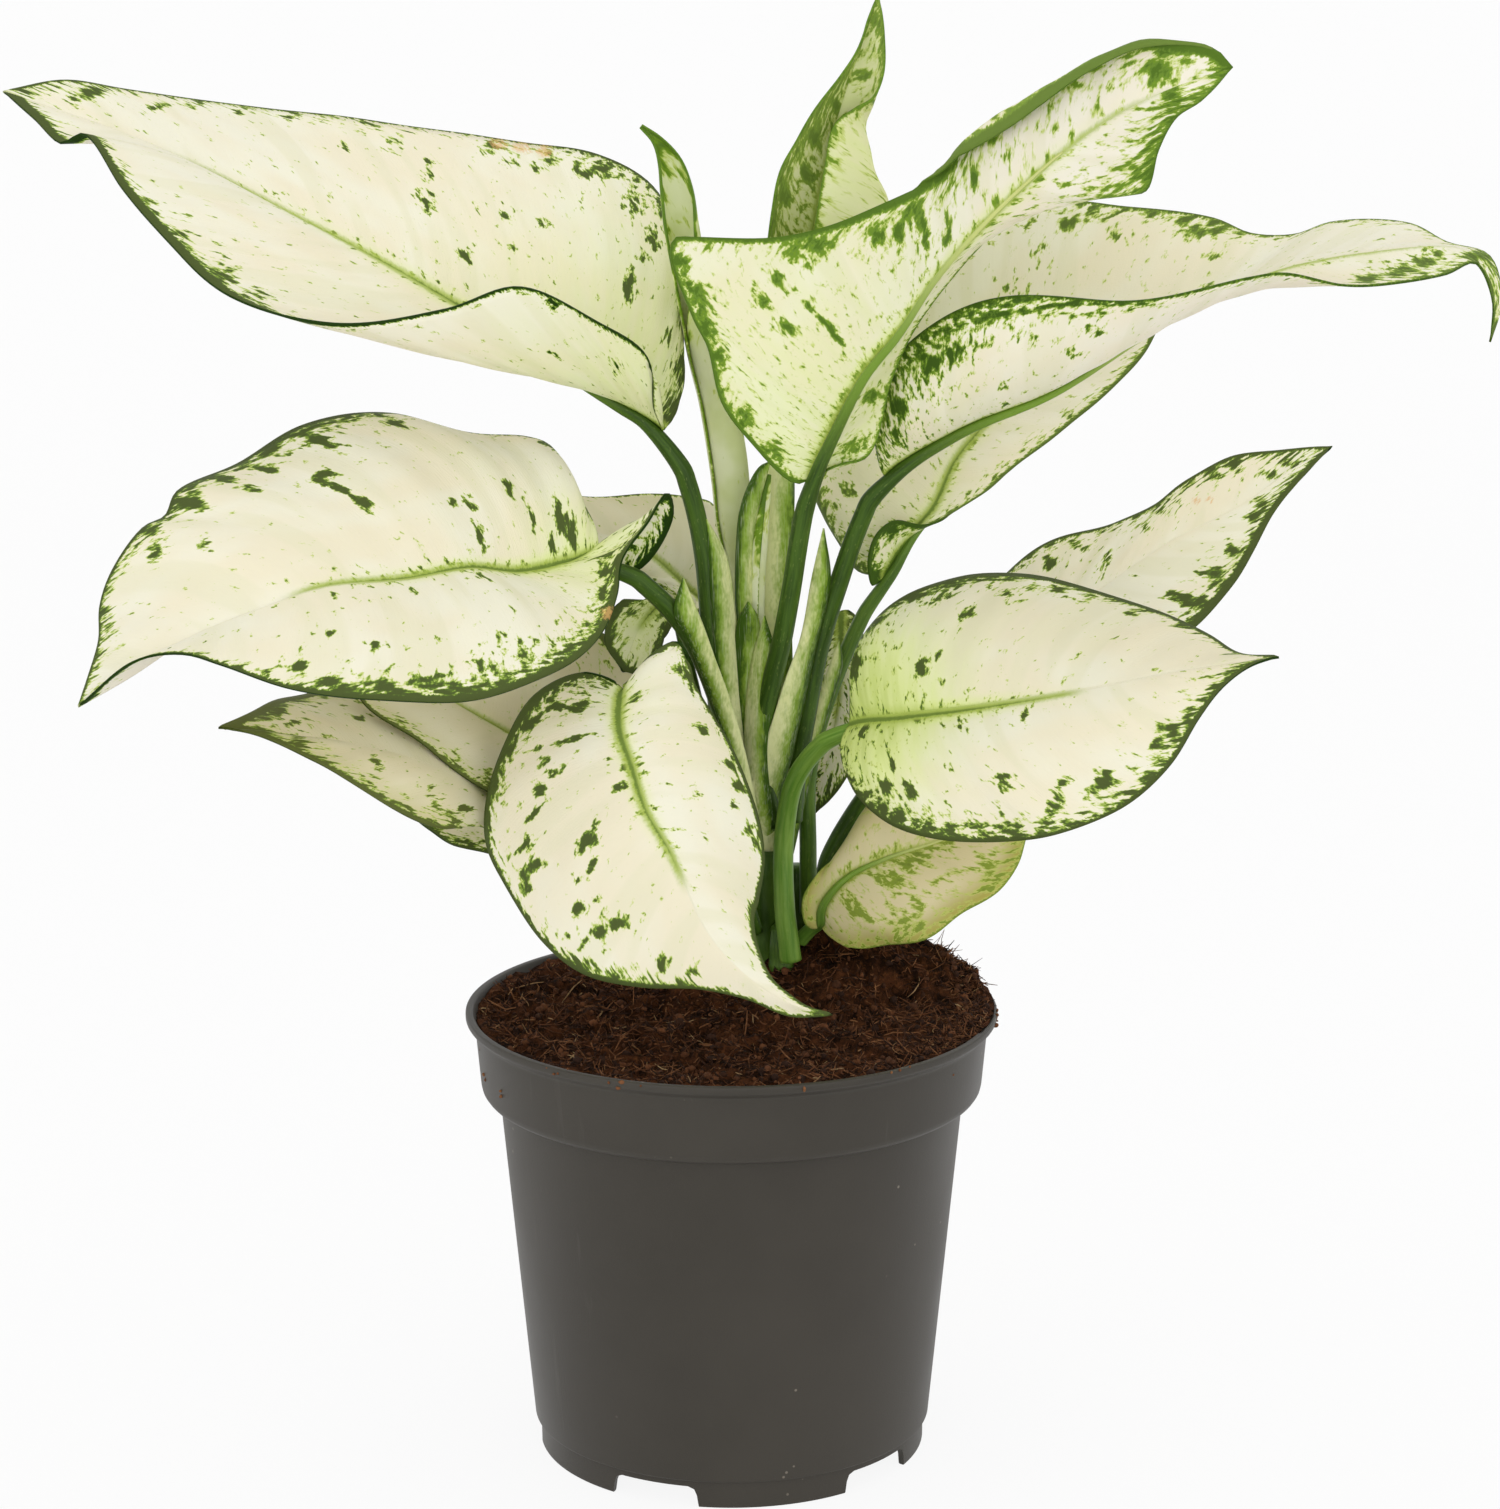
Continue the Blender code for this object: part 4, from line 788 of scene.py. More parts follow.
# Sheaths and wings round the stalks: the leaf that each belongs to, its two edges from the bottom up,
# its pointed top, how far it bulges towards the front, and how green it is at the bottom and the top
SHEATHS = {
    "sheath_upper_left": dict(
        node="leaf_upper_left", top=(-5.5, 7.5, 213), bulge=1.3, joined="left", green=(.1, .35),
        left=[(2, 12.6, 138), (0, 12, 148), (-2, 10, 165), (-3.5, 8.5, 180), (-4.5, 7.5, 195)],
        right=[(8, 12.2, 138), (6.5, 10.5, 148), (4, 10.5, 162), (2, 10.5, 178), (.8, 10.5, 192),
            (-1, 9.5, 204)]),
    "sheath_left": dict(
        node="leaf_left", top=(-10.5, -4.5, 202), bulge=1, joined="left", green=(.2, .4),
        left=[(3.5, 11, 138), (1.5, 5, 152), (-2, 2.5, 166), (-6, -.5, 178), (-10, -4, 189),
            (-12.5, -6, 195)],
        right=[(7, 11.5, 138), (5, 6, 151), (2.5, 3.5, 163), (-.5, 1, 174), (-3.5, -1.5, 183),
            (-6.5, -3.5, 192)]),
    "sheath_centre_right": dict(
        node="leaf_centre_right", top=(7.5, 8, 191), bulge=1.2, joined="right", green=(.1, .5),
        left=[(5.5, 11.8, 138), (3, 10, 148), (3, 8.5, 160), (3.5, 8, 172), (5, 8, 182)],
        right=[(10, 12, 138), (9, 8, 148), (8, 6, 160), (9, 5, 172), (10, 5, 182)]),
    "sheath_far_right": dict(
        node="leaf_far_right", top=(20.5, 7, 211), bulge=1.2, joined="right", green=(0, .45),
        left=[(6, 11.6, 136), (3.5, 8, 148), (6, 6.5, 157), (9, 5.5, 167), (12, 5, 177), (15.5, 5.5, 187),
            (18, 6.5, 200)],
        right=[(12.8, 13, 136), (11.5, 12, 148), (14, 11, 160), (16.5, 10, 172), (19, 9.5, 184),
            (22, 8, 199)]),
    "sheath_behind_right": dict(
        node="leaf_behind_right", top=(24.3, 19, 183), bulge=.8, joined="right", green=(.1, .3),
        left=[(10.5, 15, 134), (13, 18, 147), (16, 18, 157), (18.5, 18.5, 165), (21, 19, 174)],
        right=[(14, 16.5, 134), (17, 19, 147), (19.5, 19.5, 158), (22.5, 20.5, 168), (25, 21, 177)]),
    "wing_spear": dict(
        node="spear_bud", top=(8.6, 12, 225), bulge=1.5, joined="left", green=(.2, .6),
        left=[(3, 12, 165), (1.5, 12, 180), (1, 12, 195), (1.2, 12, 206), (2, 12, 214), (4, 12, 220),
            (6.5, 12, 224)],
        right=[(7, 13, 165), (5.5, 13, 180), (5, 12.5, 195), (5, 12.5, 208), (6.3, 12, 216)]),
    "wing_low": dict(
        node="spear_bud", top=(3.8, 9, 194), bulge=1.6, joined="left", green=(.1, .9),
        left=[(3, 10, 160), (1.5, 10, 172), (1, 10, 181), (1.4, 9.5, 189)],
        right=[(7.5, 10, 160), (6.8, 10, 172), (6.6, 10, 182), (6, 9.5, 190)]),
    "wing_upright": dict(
        node="leaf_upright", top=(13, 19.5, 232), bulge=1.2, joined="right", green=(-.1, .05),
        left=[(5, 18, 165), (4.5, 18, 180), (4.5, 18, 200), (7, 18.5, 220)],
        right=[(14, 18.5, 165), (13.5, 18.5, 180), (13.8, 18.5, 200), (14, 18.5, 222)]),
}

# How each leaf is coloured. rim: for the left and the right half, how green the margin is and how
# deep, at even stations from the base to the tip. rib: strength of the green rib and the share of its
# length where it fades out. tint: light green glow round the base, and its reach. speck: small marks
# all over. bands: solid green along the left and the right margin. faded: paler green.
# age_and_warm_shade: the yellow of an old leaf, and on the leaves in leaf_left's shade painted warm
# shade. wave: height and number of the margin's waves. hem: side with a turned-over
# margin, its length at even stations and the side it turns to. left_marks, right_marks: station,
# reach, length, width and strength of a group of blotches. stains: side, station, reach and size.
LOOKS = {
    "leaf_upper_left": dict(
        rim=(((.4, .4, .35, .5, .85, .9, .75, .9), (3, 2, 1.5, 2, 5, 5, 4, 6)),
            ((1, .9, .85, .6, .5, .6, .6, .9), (8, 8, 7, 4, 3, 4, 4, 6))),
        rib=(.8, .8), tint=(.45, .3), speck=.02, wave=(.9, 3), bands=(.42, .08),
        stains=((1, .42, .97, 3), (1, .445, .97, 3), (1, .47, .97, 3)),
        left_marks=((.62, .93, 7, 16, 1), (.56, .95, 6, 14, 1), (.5, .96, 5, 12), (.68, .95, 6, 12, 1),
            (.6, .84, 5, 5), (.53, .8, 3, 6, .8), (.78, .97, 3, 12), (.24, .95, 5, 6), (.3, .6, 6, 3, .5),
            (.2, .6, 8, 3, .5)),
        right_marks=((.36, .93, 10, 10), (.33, .82, 10, 7, .8), (.31, .68, 7, 4), (.355, .42, 9, 3),
            (.33, .58, 4, 2.5, .7), (.13, .55, 14, 9, 1.1), (.08, .8, 12, 8, 1.1), (.05, .5, 16, 10, 1.2),
            (.27, .93, 12, 6, 1), (.22, .8, 10, 6, 1), (.18, .75, 12, 6, 1), (.24, .62, 8, 3),
            (.39, .88, 9, 3), (.42, .93, 8, 3), (.26, .35, 5, 2, .7), (.41, .72, 5, 2, .7),
            (.465, .58, 5, 3, .8), (.44, .86, 5, 3, .8), (.48, .94, 6, 9), (.47, .88, 4, 6, .8),
            (.515, .58, 6, 2.5, .8), (.545, .58, 4, 2, .7), (.575, .78, 3, 5), (.59, .68, 3, 4),
            (.6, .87, 4, 6), (.6, .97, 3, 7), (.63, .92, 3, 4, .8), (.665, .8, 4, 3, .7), (.66, .96, 3, 7),
            (.7, .94, 3, 6, .8), (.765, .9, 3, 6, .8), (.8, .95, 4, 9), (.85, .83, 4, 8),
            (.92, .8, 6, 14, 1.1), (.61, .52, 7, 4), (.585, .28, 5, 3), (.73, .36, 4, 2, .7),
            (.785, .14, 4, 2, .7), (.52, .4, 3, 2, .6))),
    "leaf_centre_right": dict(
        rim=(((.5, .4, .3, .2, .3, .9, 1, .9), (3, 2, 1, 1, 1.5, 6, 6, 4)),
            ((.8, .8, .7, .7, .85, .9, 1, .9), (2, 2, 2, 3, 5, 6, 5, 4))),
        rib=(1, .95), tint=(.4, .5), speck=-.12, wave=(.6, 3), bands=(.06, .4), faded=.85,
        hem={1: ((0, 0, 0, 0, 0, 0, 1, 7.5, 7, 3.5, 0), -1)},
        left_marks=((.93, .5, 8, 9, 1.1), (.8, .85, 9, 9), (.72, .9, 8, 10, 1), (.12, .6, 12, 6, .6),
            (.2, .8, 8, 4, .7)),
        right_marks=((.27, .88, 12, 7), (.23, .9, 9, 6, 1), (.29, .97, 7, 5, 1), (.19, .93, 8, 5),
            (.13, .82, 11, 8, .8), (.09, .6, 8, 7, .8), (.385, .75, 9, 2.2), (.4, .42, 30, 1.5),
            (.345, .64, 5, 2.5, .8), (.345, .47, 6, 3), (.43, .93, 8, 9, 1), (.455, .9, 7, 9, 1),
            (.52, .82, 11, 7), (.545, .72, 9, 6, .8), (.57, .87, 12, 9, 1), (.585, .6, 12, 4),
            (.63, .42, 9, 2.6), (.62, .3, 4, 2.5, .8), (.685, .6, 8, 3, .8), (.7, .9, 6, 12),
            (.93, .45, 8, 9, 1.1))),
    "leaf_far_right": dict(
        rim=(((.2, .2, .3, .6, .8, .5, .6, .8), (2, 2, 3, 4, 4, 3, 3, 4)),
            ((1, 1, 1, .9, .6, .5, .8, .9), (9, 11, 9, 5, 2, 2, 4, 5))),
        rib=(1, .9), tint=(.2, .4), speck=0, wave=(.6, 4), faded=.4, bands=(.06, .03),
        left_marks=((.91, .6, 7, 12, 1.1), (.42, .92, 5, 6, 1.1), (.355, .72, 3, 3.5), (.392, .81, 4, 4),
            (.38, .62, 3, 5, 1), (.37, .97, 3, 6), (.455, .95, 3, 9), (.475, .88, 4, 6, .8),
            (.56, .92, 5, 10, 1), (.58, .95, 5, 7, 1), (.545, .97, 4, 8), (.62, .5, 2, 4, .8),
            (.6, .8, 3, 3, .7)),
        right_marks=((.24, .8, 10, 9, 1.1), (.17, .62, 10, 6, 1), (.12, .85, 10, 5, 1), (.15, .35, 10, 5, .7),
            (.28, .78, 6, 9, 1), (.33, .93, 5, 10, 1), (.37, .95, 4, 9), (.36, .42, 4, 2.5, .7),
            (.39, .78, 4, 3, .6), (.445, .62, 3, 6, .6), (.455, .8, 3, 6, .8), (.36, .15, 7, 2, .6),
            (.78, .8, 8, 10, 1), (.82, .7, 8, 12, 1), (.86, .5, 7, 12, 1), (.91, .6, 7, 12, 1.1))),
    "leaf_left": dict(
        rim=(((.9, .9, .9, 1, 1.1, 1.2, 1.2, 1.1, .8, .6, .8), (9, 8, 5, 5, 6, 6, 6, 5, 3, 2, 4)),
            ((.7, .5, .3, .3, .9, 1.1, 1.1, 1, .9, .8, .6), (3, 2, 1, 2, 6, 7, 5, 4, 3, 3, 3))),
        rib=(1.2, .62), tint=(.45, .14), speck=.04, wave=(.7, 3), bands=(.18, .14),
        stains=((-1, .36, .96, 2.4),),
        left_marks=((.1, .9, 12, 8, .72), (.16, .95, 10, 6, .7), (.76, .83, 4, 8, 1.1),
            (.72, .93, 5, 12, 1.1), (.67, .92, 5, 12, 1.1), (.62, .9, 6, 10, 1), (.585, .92, 5, 9, 1),
            (.53, .95, 5, 8), (.53, .68, 6, 3.5, .8), (.56, .78, 6, 6, .8), (.5, .82, 8, 4, .8),
            (.68, .62, 2.5, 3.5), (.725, .52, 2.5, 3, .8), (.705, .15, 5, 1.5, .7), (.6, .15, 4, 1.4, .7),
            (.49, .12, 5, 1.8), (.3, .8, 8, 5), (.34, .85, 8, 4), (.27, .65, 8, 4, .8), (.4, .85, 6, 4, .7)),
        right_marks=((.49, .95, 10, 6, 1.1), (.5, .85, 15, 3, 1), (.535, .96, 8, 6, 1.1),
            (.385, .97, 6, 6, 1), (.43, .96, 9, 6), (.395, .87, 8, 5), (.575, .86, 9, 3.5, 1.1),
            (.615, .92, 10, 4.5, 1.1), (.63, .76, 6, 3, .8), (.675, .93, 12, 4, 1), (.655, .96, 9, 5),
            (.56, .64, 6, 6, 1.1), (.567, .52, 12, 2, 1), (.566, .42, 5, 3, 1), (.745, .62, 3, 4),
            (.765, .83, 5, 7, 1), (.73, .95, 8, 6, 1), (.85, .95, 5, 8), (.88, .9, 4, 6, .8),
            (.455, .32, 3, 3, .8), (.44, .16, 10, 2), (.43, .3, 6, 2, .8), (.335, .38, 5, 3, .8),
            (.235, .25, 14, 2), (.2, .15, 10, 2, 1), (.215, .2, 8, 1.6), (.27, .1, 7, 2, .8),
            (.31, .25, 10, 1.6, .8), (.17, .97, 8, 5), (.1, .6, 10, 5, .6))),
    "leaf_front": dict(
        rim=(((.7, .6, .6, .7, .8, .8, .7, .8, .6, .5, .6), (2, 2, 2, 2, 2.5, 2.5, 2, 3, 2, 1.5, 2)),
            ((1.2, 1.3, 1.3, 1.2, 1, .8, .9, .9, .7, .6, .7), (6, 7, 7, 6, 4, 3, 4, 4, 3, 2, 2))),
        rib=(1.1, .55), tint=(.2, .12), speck=.04, wave=(.4, 3), bands=(.5, .22),
        hem={-1: ((2, 4.5, 0, 0, 0, 0, 0, 0, 0, 0, 0), 1)},
        left_marks=((.365, .72, 4, 3.5, .88), (.2, .8, 6, 4, .78), (.22, .9, 5, 3, .78), (.24, .2, 6, 2, .78),
            (.24, .93, 5, 4, .78), (.435, .85, 6, 3.5, .88), (.48, .9, 9, 3.5, .88), (.525, .43, 2.5, 3, .78),
            (.53, .75, 2.5, 2.5, .78), (.565, .86, 3.5, 3.5, .88), (.58, .95, 6, 6, .88),
            (.62, .4, 2, 2, .68), (.72, .95, 4, 6, .88)),
        right_marks=((.24, .75, 11, 4, .98), (.27, .9, 11, 5, .98), (.22, .55, 9, 3.5, .88),
            (.235, .33, 7, 5, .98), (.32, .94, 10, 4, .98), (.33, .3, 12, 2, .78), (.355, .48, 4, 3, .78),
            (.315, .57, 4, 3, .58), (.385, .42, 8, 2.2, .78), (.4, .53, 4.5, 4, .98),
            (.425, .61, 10, 1.8, .88), (.455, .76, 6, 3.5, .98), (.535, .4, 7, 4, .98),
            (.57, .48, 11, 1.8, .78), (.52, .3, 5, 2, .68), (.485, .08, 6, 2, .68), (.48, .86, 5, 3.5, .88),
            (.49, .76, 4, 3, .88), (.495, .89, 3.5, 3.5, .78), (.44, .88, 3, 2, .78), (.59, .7, 6, 3, .88),
            (.61, .55, 2.5, 2.5, .68), (.635, .73, 5, 4, .98), (.655, .6, 6, 7, 1.08), (.62, .85, 4, 2, .78),
            (.595, .88, 3, 3, .68), (.63, .96, 6, 9, .98), (.68, .95, 6, 10, .98), (.66, .96, 6, 9, .88),
            (.745, .76, 6, 3, .88), (.79, .75, 3, 3, .68), (.38, .97, 5, 4, .88), (.75, .96, 4, 8, .68))),
    "leaf_upright": dict(
        rim=(((1, 1, 1, 1, 1), (7, 7, 7, 6, 6)), ((.3, .3, .4, .6, .9), (3, 3, 3, 4, 4))),
        rib=(.6, .8), tint=(.46, 3), speck=.03, wave=(.3, 3), faded=1, bands=(.02, 0),
        left_marks=((.5, .5, 9, 4, .8), (.58, .75, 9, 4), (.66, .35, 9, 4), (.72, .6, 9, 4, 1),
            (.8, .3, 8, 3)),
        right_marks=((.78, .2, 9, 3, .8), (.86, .3, 9, 3, .8), (.6, .3, 6, 5, .6), (.55, .45, 6, 5, .5),
            (.7, .35, 8, 3, .6))),
    "leaf_right_front": dict(
        rim=(((1.1, 1.2, 1.2, 1.1, 1, .9, .7, .8), (7, 7, 6, 5, 4, 3, 3, 3)),
            ((1.1, 1.1, 1.1, 1, .9, 1, 1, .9), (4, 5, 6, 5, 4, 5, 5, 4))),
        rib=(1.1, .6), tint=(1, .25), speck=-.02, wave=(.3, 3), bands=(.3, .14),
        left_marks=((.3, .92, 10, 11, 1.1), (.34, .86, 9, 8), (.37, .93, 8, 10, 1), (.41, .95, 7, 10, 1),
            (.45, .95, 6, 9, 1), (.38, .8, 8, 6, .8), (.245, .78, 6, 6, 1), (.2, .5, 12, 5),
            (.37, .75, 3, 3, .7), (.5, .8, 4, 10, .8), (.53, .86, 3.5, 8), (.57, .9, 3, 9, 1),
            (.46, .62, 7, 3, .8), (.445, .33, 4, 2, .5), (.41, .27, 6, 4, .8), (.71, .88, 4, 6, .8),
            (.62, .9, 3, 5, .8), (.8, .95, 5, 7)),
        right_marks=((.23, .86, 7, 7, 1), (.26, .9, 8, 8, 1.1), (.31, .92, 6, 7, 1), (.21, .12, 6, 3, .7),
            (.27, .65, 5, 4.5), (.335, .62, 5, 3.5, .8), (.315, .42, 15, 1.6, .6), (.41, .87, 4, 8, .8),
            (.44, .93, 4, 9, 1), (.47, .93, 5, 8, 1), (.505, .12, 7, 2, .6), (.635, .12, 4, 3, .8),
            (.53, .6, 5, 4), (.555, .86, 4, 11), (.6, .75, 3, 6, .8), (.635, .85, 4, 13), (.66, .82, 6, 5, 1),
            (.52, .94, 3, 9), (.77, .83, 4, 10), (.795, .86, 6, 5), (.83, .9, 5, 8))),
    "leaf_right_back": dict(
        rim=(((.9, .9, .9, .8, .9, .9, .9), (4, 4, 4, 4, 4, 3, 3)),
            ((1, 1, 1.1, 1.1, 1.1, 1, .9), (4, 4, 5, 5, 5, 4, 3))),
        rib=(.3, .3), tint=(.2, .2), speck=.03, bands=(.15, .3), stains=((-1, .8, .4, 1.2),
        (-1, .77, .5, 1.4)),
        left_marks=((.43, .75, 5, 5, .92), (.485, .82, 3, 9, .82), (.585, .42, 7, 3, .62),
            (.63, .72, 3, 5, .82), (.655, .83, 3, 8, .92), (.715, .7, 2.5, 5, .72), (.765, .9, 5, 10, 1.1),
            (.81, .88, 5, 9, 1.02), (.9, .4, 4, 8, .92), (.93, .5, 4, 8, .92)),
        right_marks=((.725, .8, 4, 4, .92), (.67, .78, 9, 4, .92), (.61, .72, 11, 3.5, .82),
            (.6, .86, 8, 5, .92), (.595, .78, 3, 4, .82), (.81, .75, 6, 5, .82), (.85, .6, 5, 6, .82))),
    "leaf_behind_right": dict(
        rim=(((1, 1, .9, .8, .8), (7, 6, 4, 4, 4)), ((1, .9, .8, .8, .8), (6, 4, 3, 3, 3))),
        rib=(.7, .8), tint=(.25, .4), speck=-.05, faded=.4, bands=(.2, .2),
        left_marks=((.12, .8, 12, 8, 1), (.06, .5, 10, 7, 1), (.22, .9, 10, 6), (.3, .6, 6, 3, .8)),
        right_marks=((.08, .6, 10, 6, 1), (.2, .8, 9, 5))),
    "leaf_behind_stems": dict(
        rim=(((.9, .9, .9), (6, 6, 6)), ((.9, .9, .9), (6, 6, 6))),
        rib=(.6, .6), tint=(.3, .3), speck=.3),
    "leaf_on_soil": dict(
        rim=(((.4, .4, .4, .4, .4), (6, 7, 8, 8, 8)), ((.3, .3, .3, .3, .3), (5, 6, 6, 6, 6))),
        rib=(.6, .8), tint=(.15, .5), speck=-.1, faded=1, age_and_warm_shade=.8, bands=(0, 0),
        left_marks=((.62, .12, 8, 15, .8), (.72, .08, 6, 10, .7), (.4, .75, 9, 14, .62),
            (.68, .85, 11, 14, .62), (.5, .3, 12, 6, .66), (.35, .3, 12, 4, .62))),
    "leaf_low_left": dict(
        rim=(((.7, .8, .9, .9, .9, .95), (4, 4, 4, 4, 4, 6)), ((.4, .4, .6, .9, .95, 1), (3, 3, 4, 6, 7, 8))),
        rib=(.3, .4), speck=.08, age_and_warm_shade=.3, bands=(.2, .3),
        left_marks=((.72, .5, 3, 5, 1), (.56, .6, 3, 9), (.5, .5, 6, 3), (.43, .9, 5, 9, 1.1),
            (.85, .7, 6, 9, 1)),
        right_marks=((.87, .8, 6, 9, 1.1), (.91, .7, 5, 9, 1.1), (.84, .92, 6, 7, 1.1), (.72, .9, 3, 5),
            (.78, .92, 4, 9, 1), (.74, .48, 3, 4), (.7, .55, 2.5, 4, .6), (.88, .4, 4, 9))),
    "leaf_low_left_middle": dict(
        rim=(((.6, .7, .8, .7, .6), (3, 3, 3, 3, 3)), ((.9, .9, .9, .8, .5), (6, 6, 5, 4, 2))),
        rib=(.6, .8), speck=.08, age_and_warm_shade=.28, bands=(.2, .35),
        left_marks=((.6, .92, 3, 9, 1), (.52, .88, 3, 9, 1), (.5, .93, 3, 9), (.75, .9, 3, 8, .8)),
        right_marks=((.1, .9, 10, 6, 1), (.2, .9, 8, 5))),
    "leaf_low_left_back": dict(
        rim=(((.9, .9, .9, .9), (5, 5, 5, 5)), ((.8, .8, .8, .8), (4, 4, 4, 4))),
        rib=(.5, .6), speck=.1),
    "leaf_behind_left": dict(
        rim=(((.8, .8, .5, .3), (4, 4, 3, 2)), ((.1, .1, .1, .2), (1, 1, 1, 1))),
        rib=(.4, .5), tint=(.1, .2), speck=.03, age_and_warm_shade=.1),
    "leaf_small_left": dict(
        rim=(((1, 1, 1), (4, 4, 4)), ((1, 1, 1), (4, 4, 4))),
        rib=(.6, .6), tint=(.5, 1.5), speck=.14, bands=(.3, .3)),
}
# How bright green a stalk is, from 0 to 1
TONES = {"leaf_right_front": .9, "leaf_on_soil": .5, "leaf_behind_right": .3}


# ---------------------------------------------------------------- materials

CREAM = rgb(240, 236, 220)
WARM_CREAM = rgb(238, 229, 207)
AGED_AND_WARM_SHADE_CREAM = rgb(228, 206, 148)
PAINTED_VEIN_SHADE = rgb(228, 224, 196)
LIT_GREEN = rgb(220, 230, 158)
HALO = rgb(196, 210, 112)
TINTED_GREEN = rgb(178, 196, 96)
RIB_GREEN = rgb(98, 130, 36)
RIB_DARK = rgb(54, 86, 20)
RIB_FRINGE = rgb(164, 184, 78)
MID_GREEN = rgb(114, 148, 38)
LEAF_GREEN = rgb(56, 87, 20)
DARK_GREEN = rgb(33, 57, 10)
FADED_LEAF_GREEN = rgb(114, 146, 52)
FADED_DARK_GREEN = rgb(90, 122, 38)
AGED_AND_WARM_SHADE_GREEN = rgb(174, 166, 84)
STAIN = rgb(226, 172, 108)
UNDERSIDE = rgb(210, 216, 136)

CRUMB_SHARE = .34       # how much fine grain the outline of a blotch has
BLOTCH_SHARE, BLOTCH_START = 1.7, -1.42
TINT_SHARE = .1         # blotches grow a little where the leaf is tinted
GREEN_SHARE = .48       # how far the green values push a blotch
SPECK_SHARE, SPECK_START, SPECK_CONTRAST = .55, .835, 3
FADED_LOSS = .45        # how much of its blotches a faded leaf loses
RAGGEDNESS = 1.8        # of the margin's green line


def variegation(graph, under):
    """The leaf's colour: cream, with green margins, blotches along the veins and a green rib."""
    vein = graph.attribute("vein", "Vector")
    edge, rib = graph.attribute("edge"), graph.attribute("rib")
    faded, age_and_warm_shade = graph.attribute("faded"), graph.attribute("age_and_warm_shade")
    slow = graph.noise(vein, .05, 2)
    inner = graph.noise(vein, (.6, .34, .5), 3, .58, .3)
    outer = graph.noise(vein, (.34, .72, .5), 3, .58, .3)
    change = graph.times(graph.minus(inner, outer), graph.step(edge, 2, 7))
    blotch = graph.plus(outer, change)
    crumbs = graph.noise(vein, (2.2, 1.2, 1), 2, .6)
    fine = graph.noise(vein, (.7, .34, .6), 2, .6, .2)
    streak = graph.noise(vein, (.35, .06, .4), 2, .5)
    ragged = graph.noise(vein, (1.6, .8, 1), 2, .6)
    tint = graph.attribute("tint")
    shape = graph.scaled(crumbs, CRUMB_SHARE, graph.scaled(blotch, BLOTCH_SHARE, BLOTCH_START))
    shape = graph.scaled(tint, TINT_SHARE, shape)
    blotches = graph.scaled(graph.attribute("green"), GREEN_SHARE, shape)
    specks = graph.minus(fine, graph.scaled(graph.attribute("speck"), -SPECK_SHARE, SPECK_START))
    specks = graph.times(specks, SPECK_CONTRAST)
    inward = graph.minus(graph.scaled(ragged, RAGGEDNESS, edge), graph.attribute("band"))
    cover = graph.larger(graph.larger(blotches, specks), graph.step(inward, .3, 2.1, .2, -.6))
    cover = graph.times(cover, graph.scaled(faded, -FADED_LOSS, 1))
    ribmark = graph.attribute("ribmark")
    rib_edge = graph.plus(ragged, graph.minus(rib, graph.attribute("ribwide")))
    rib_line = graph.times(graph.step(rib_edge, -.5, .1, 1, 0), graph.step(ribmark, .1, .6))
    flank = graph.times(graph.step(rib_edge, -.1, 1.3, 1, 0), graph.step(ribmark, .02, .35))
    glow = graph.times(graph.step(rib, .5, 4.2, 1, 0), graph.times(ribmark, .4))
    base = graph.mix(graph.step(slow, .35, .65), CREAM, WARM_CREAM)
    # Painted shade: faint grey-beige lines along the side veins, where the quilted blade creases.
    vein_crease_shade = graph.noise(vein, (.17, .02, .4), 1)
    base = graph.mix(graph.step(vein_crease_shade, .5, .62, 0, .45), base, PAINTED_VEIN_SHADE)
    # Yellowed cream, and olive towards the margin: an old leaf's colour, and painted warm shade on the leaves
    # in leaf_left's shade.
    base = graph.mix(graph.times(age_and_warm_shade, .6), base, AGED_AND_WARM_SHADE_CREAM)
    base = graph.mix(graph.times(age_and_warm_shade, graph.step(edge, .5, 7, 1.3, 0)), base, AGED_AND_WARM_SHADE_GREEN)
    patchy = graph.times(tint, graph.step(streak, .3, .7, .85, 1.1))
    glow = graph.scaled(glow, .8, patchy)
    base = graph.layered(base, (glow, 0, .7, 1, LIT_GREEN), (glow, .5, 1.1, .8, TINTED_GREEN))
    leaf_green = graph.mix(faded, LEAF_GREEN, FADED_LEAF_GREEN)
    dark_green = graph.mix(faded, DARK_GREEN, FADED_DARK_GREEN)
    colour = graph.layered(
        base, (cover, -.17, -.05, .95, HALO), (cover, -.08, -.01, 1, MID_GREEN),
        (cover, -.01, .05, 1, leaf_green), (cover, .05, .14, 1, dark_green))
    colour = graph.mix(graph.times(flank, .9), colour, RIB_FRINGE)
    colour = graph.mix(graph.times(rib_line, .9), colour, graph.mix(streak, RIB_DARK, RIB_GREEN))
    # Olive over the whole leaf by the same amount: an old leaf's colour, and painted warm shade on the leaves
    # in leaf_left's shade.
    colour = graph.mix(graph.times(age_and_warm_shade, .35), colour, AGED_AND_WARM_SHADE_GREEN)
    stain = graph.step(graph.times(graph.attribute("stain"), ragged), .2, .4)
    colour = graph.mix(graph.times(stain, .6), colour, STAIN)
    if under:
        colour = graph.mix(.1, colour, UNDERSIDE)
    return colour, vein


def leaf_material(name, under):
    graph = Graph(bpy.data.materials.new(name))
    colour, vein = variegation(graph, under)
    fibres = graph.noise(vein, (2.2, .25, 1), 3, .6)
    pores = graph.noise(vein, 3, 2)
    height = graph.plus(graph.times(fibres, .7), graph.times(pores, .3))
    graph.bump(height, .45 if under else .3, .00025)
    rough = graph.step(fibres, .3, .7, *((.48, .62) if under else (.38, .5)))
    return graph.finish(colour, rough, Subsurface_Weight=.08, Subsurface_Scale=.0006, Specular_IOR_Level=.07)


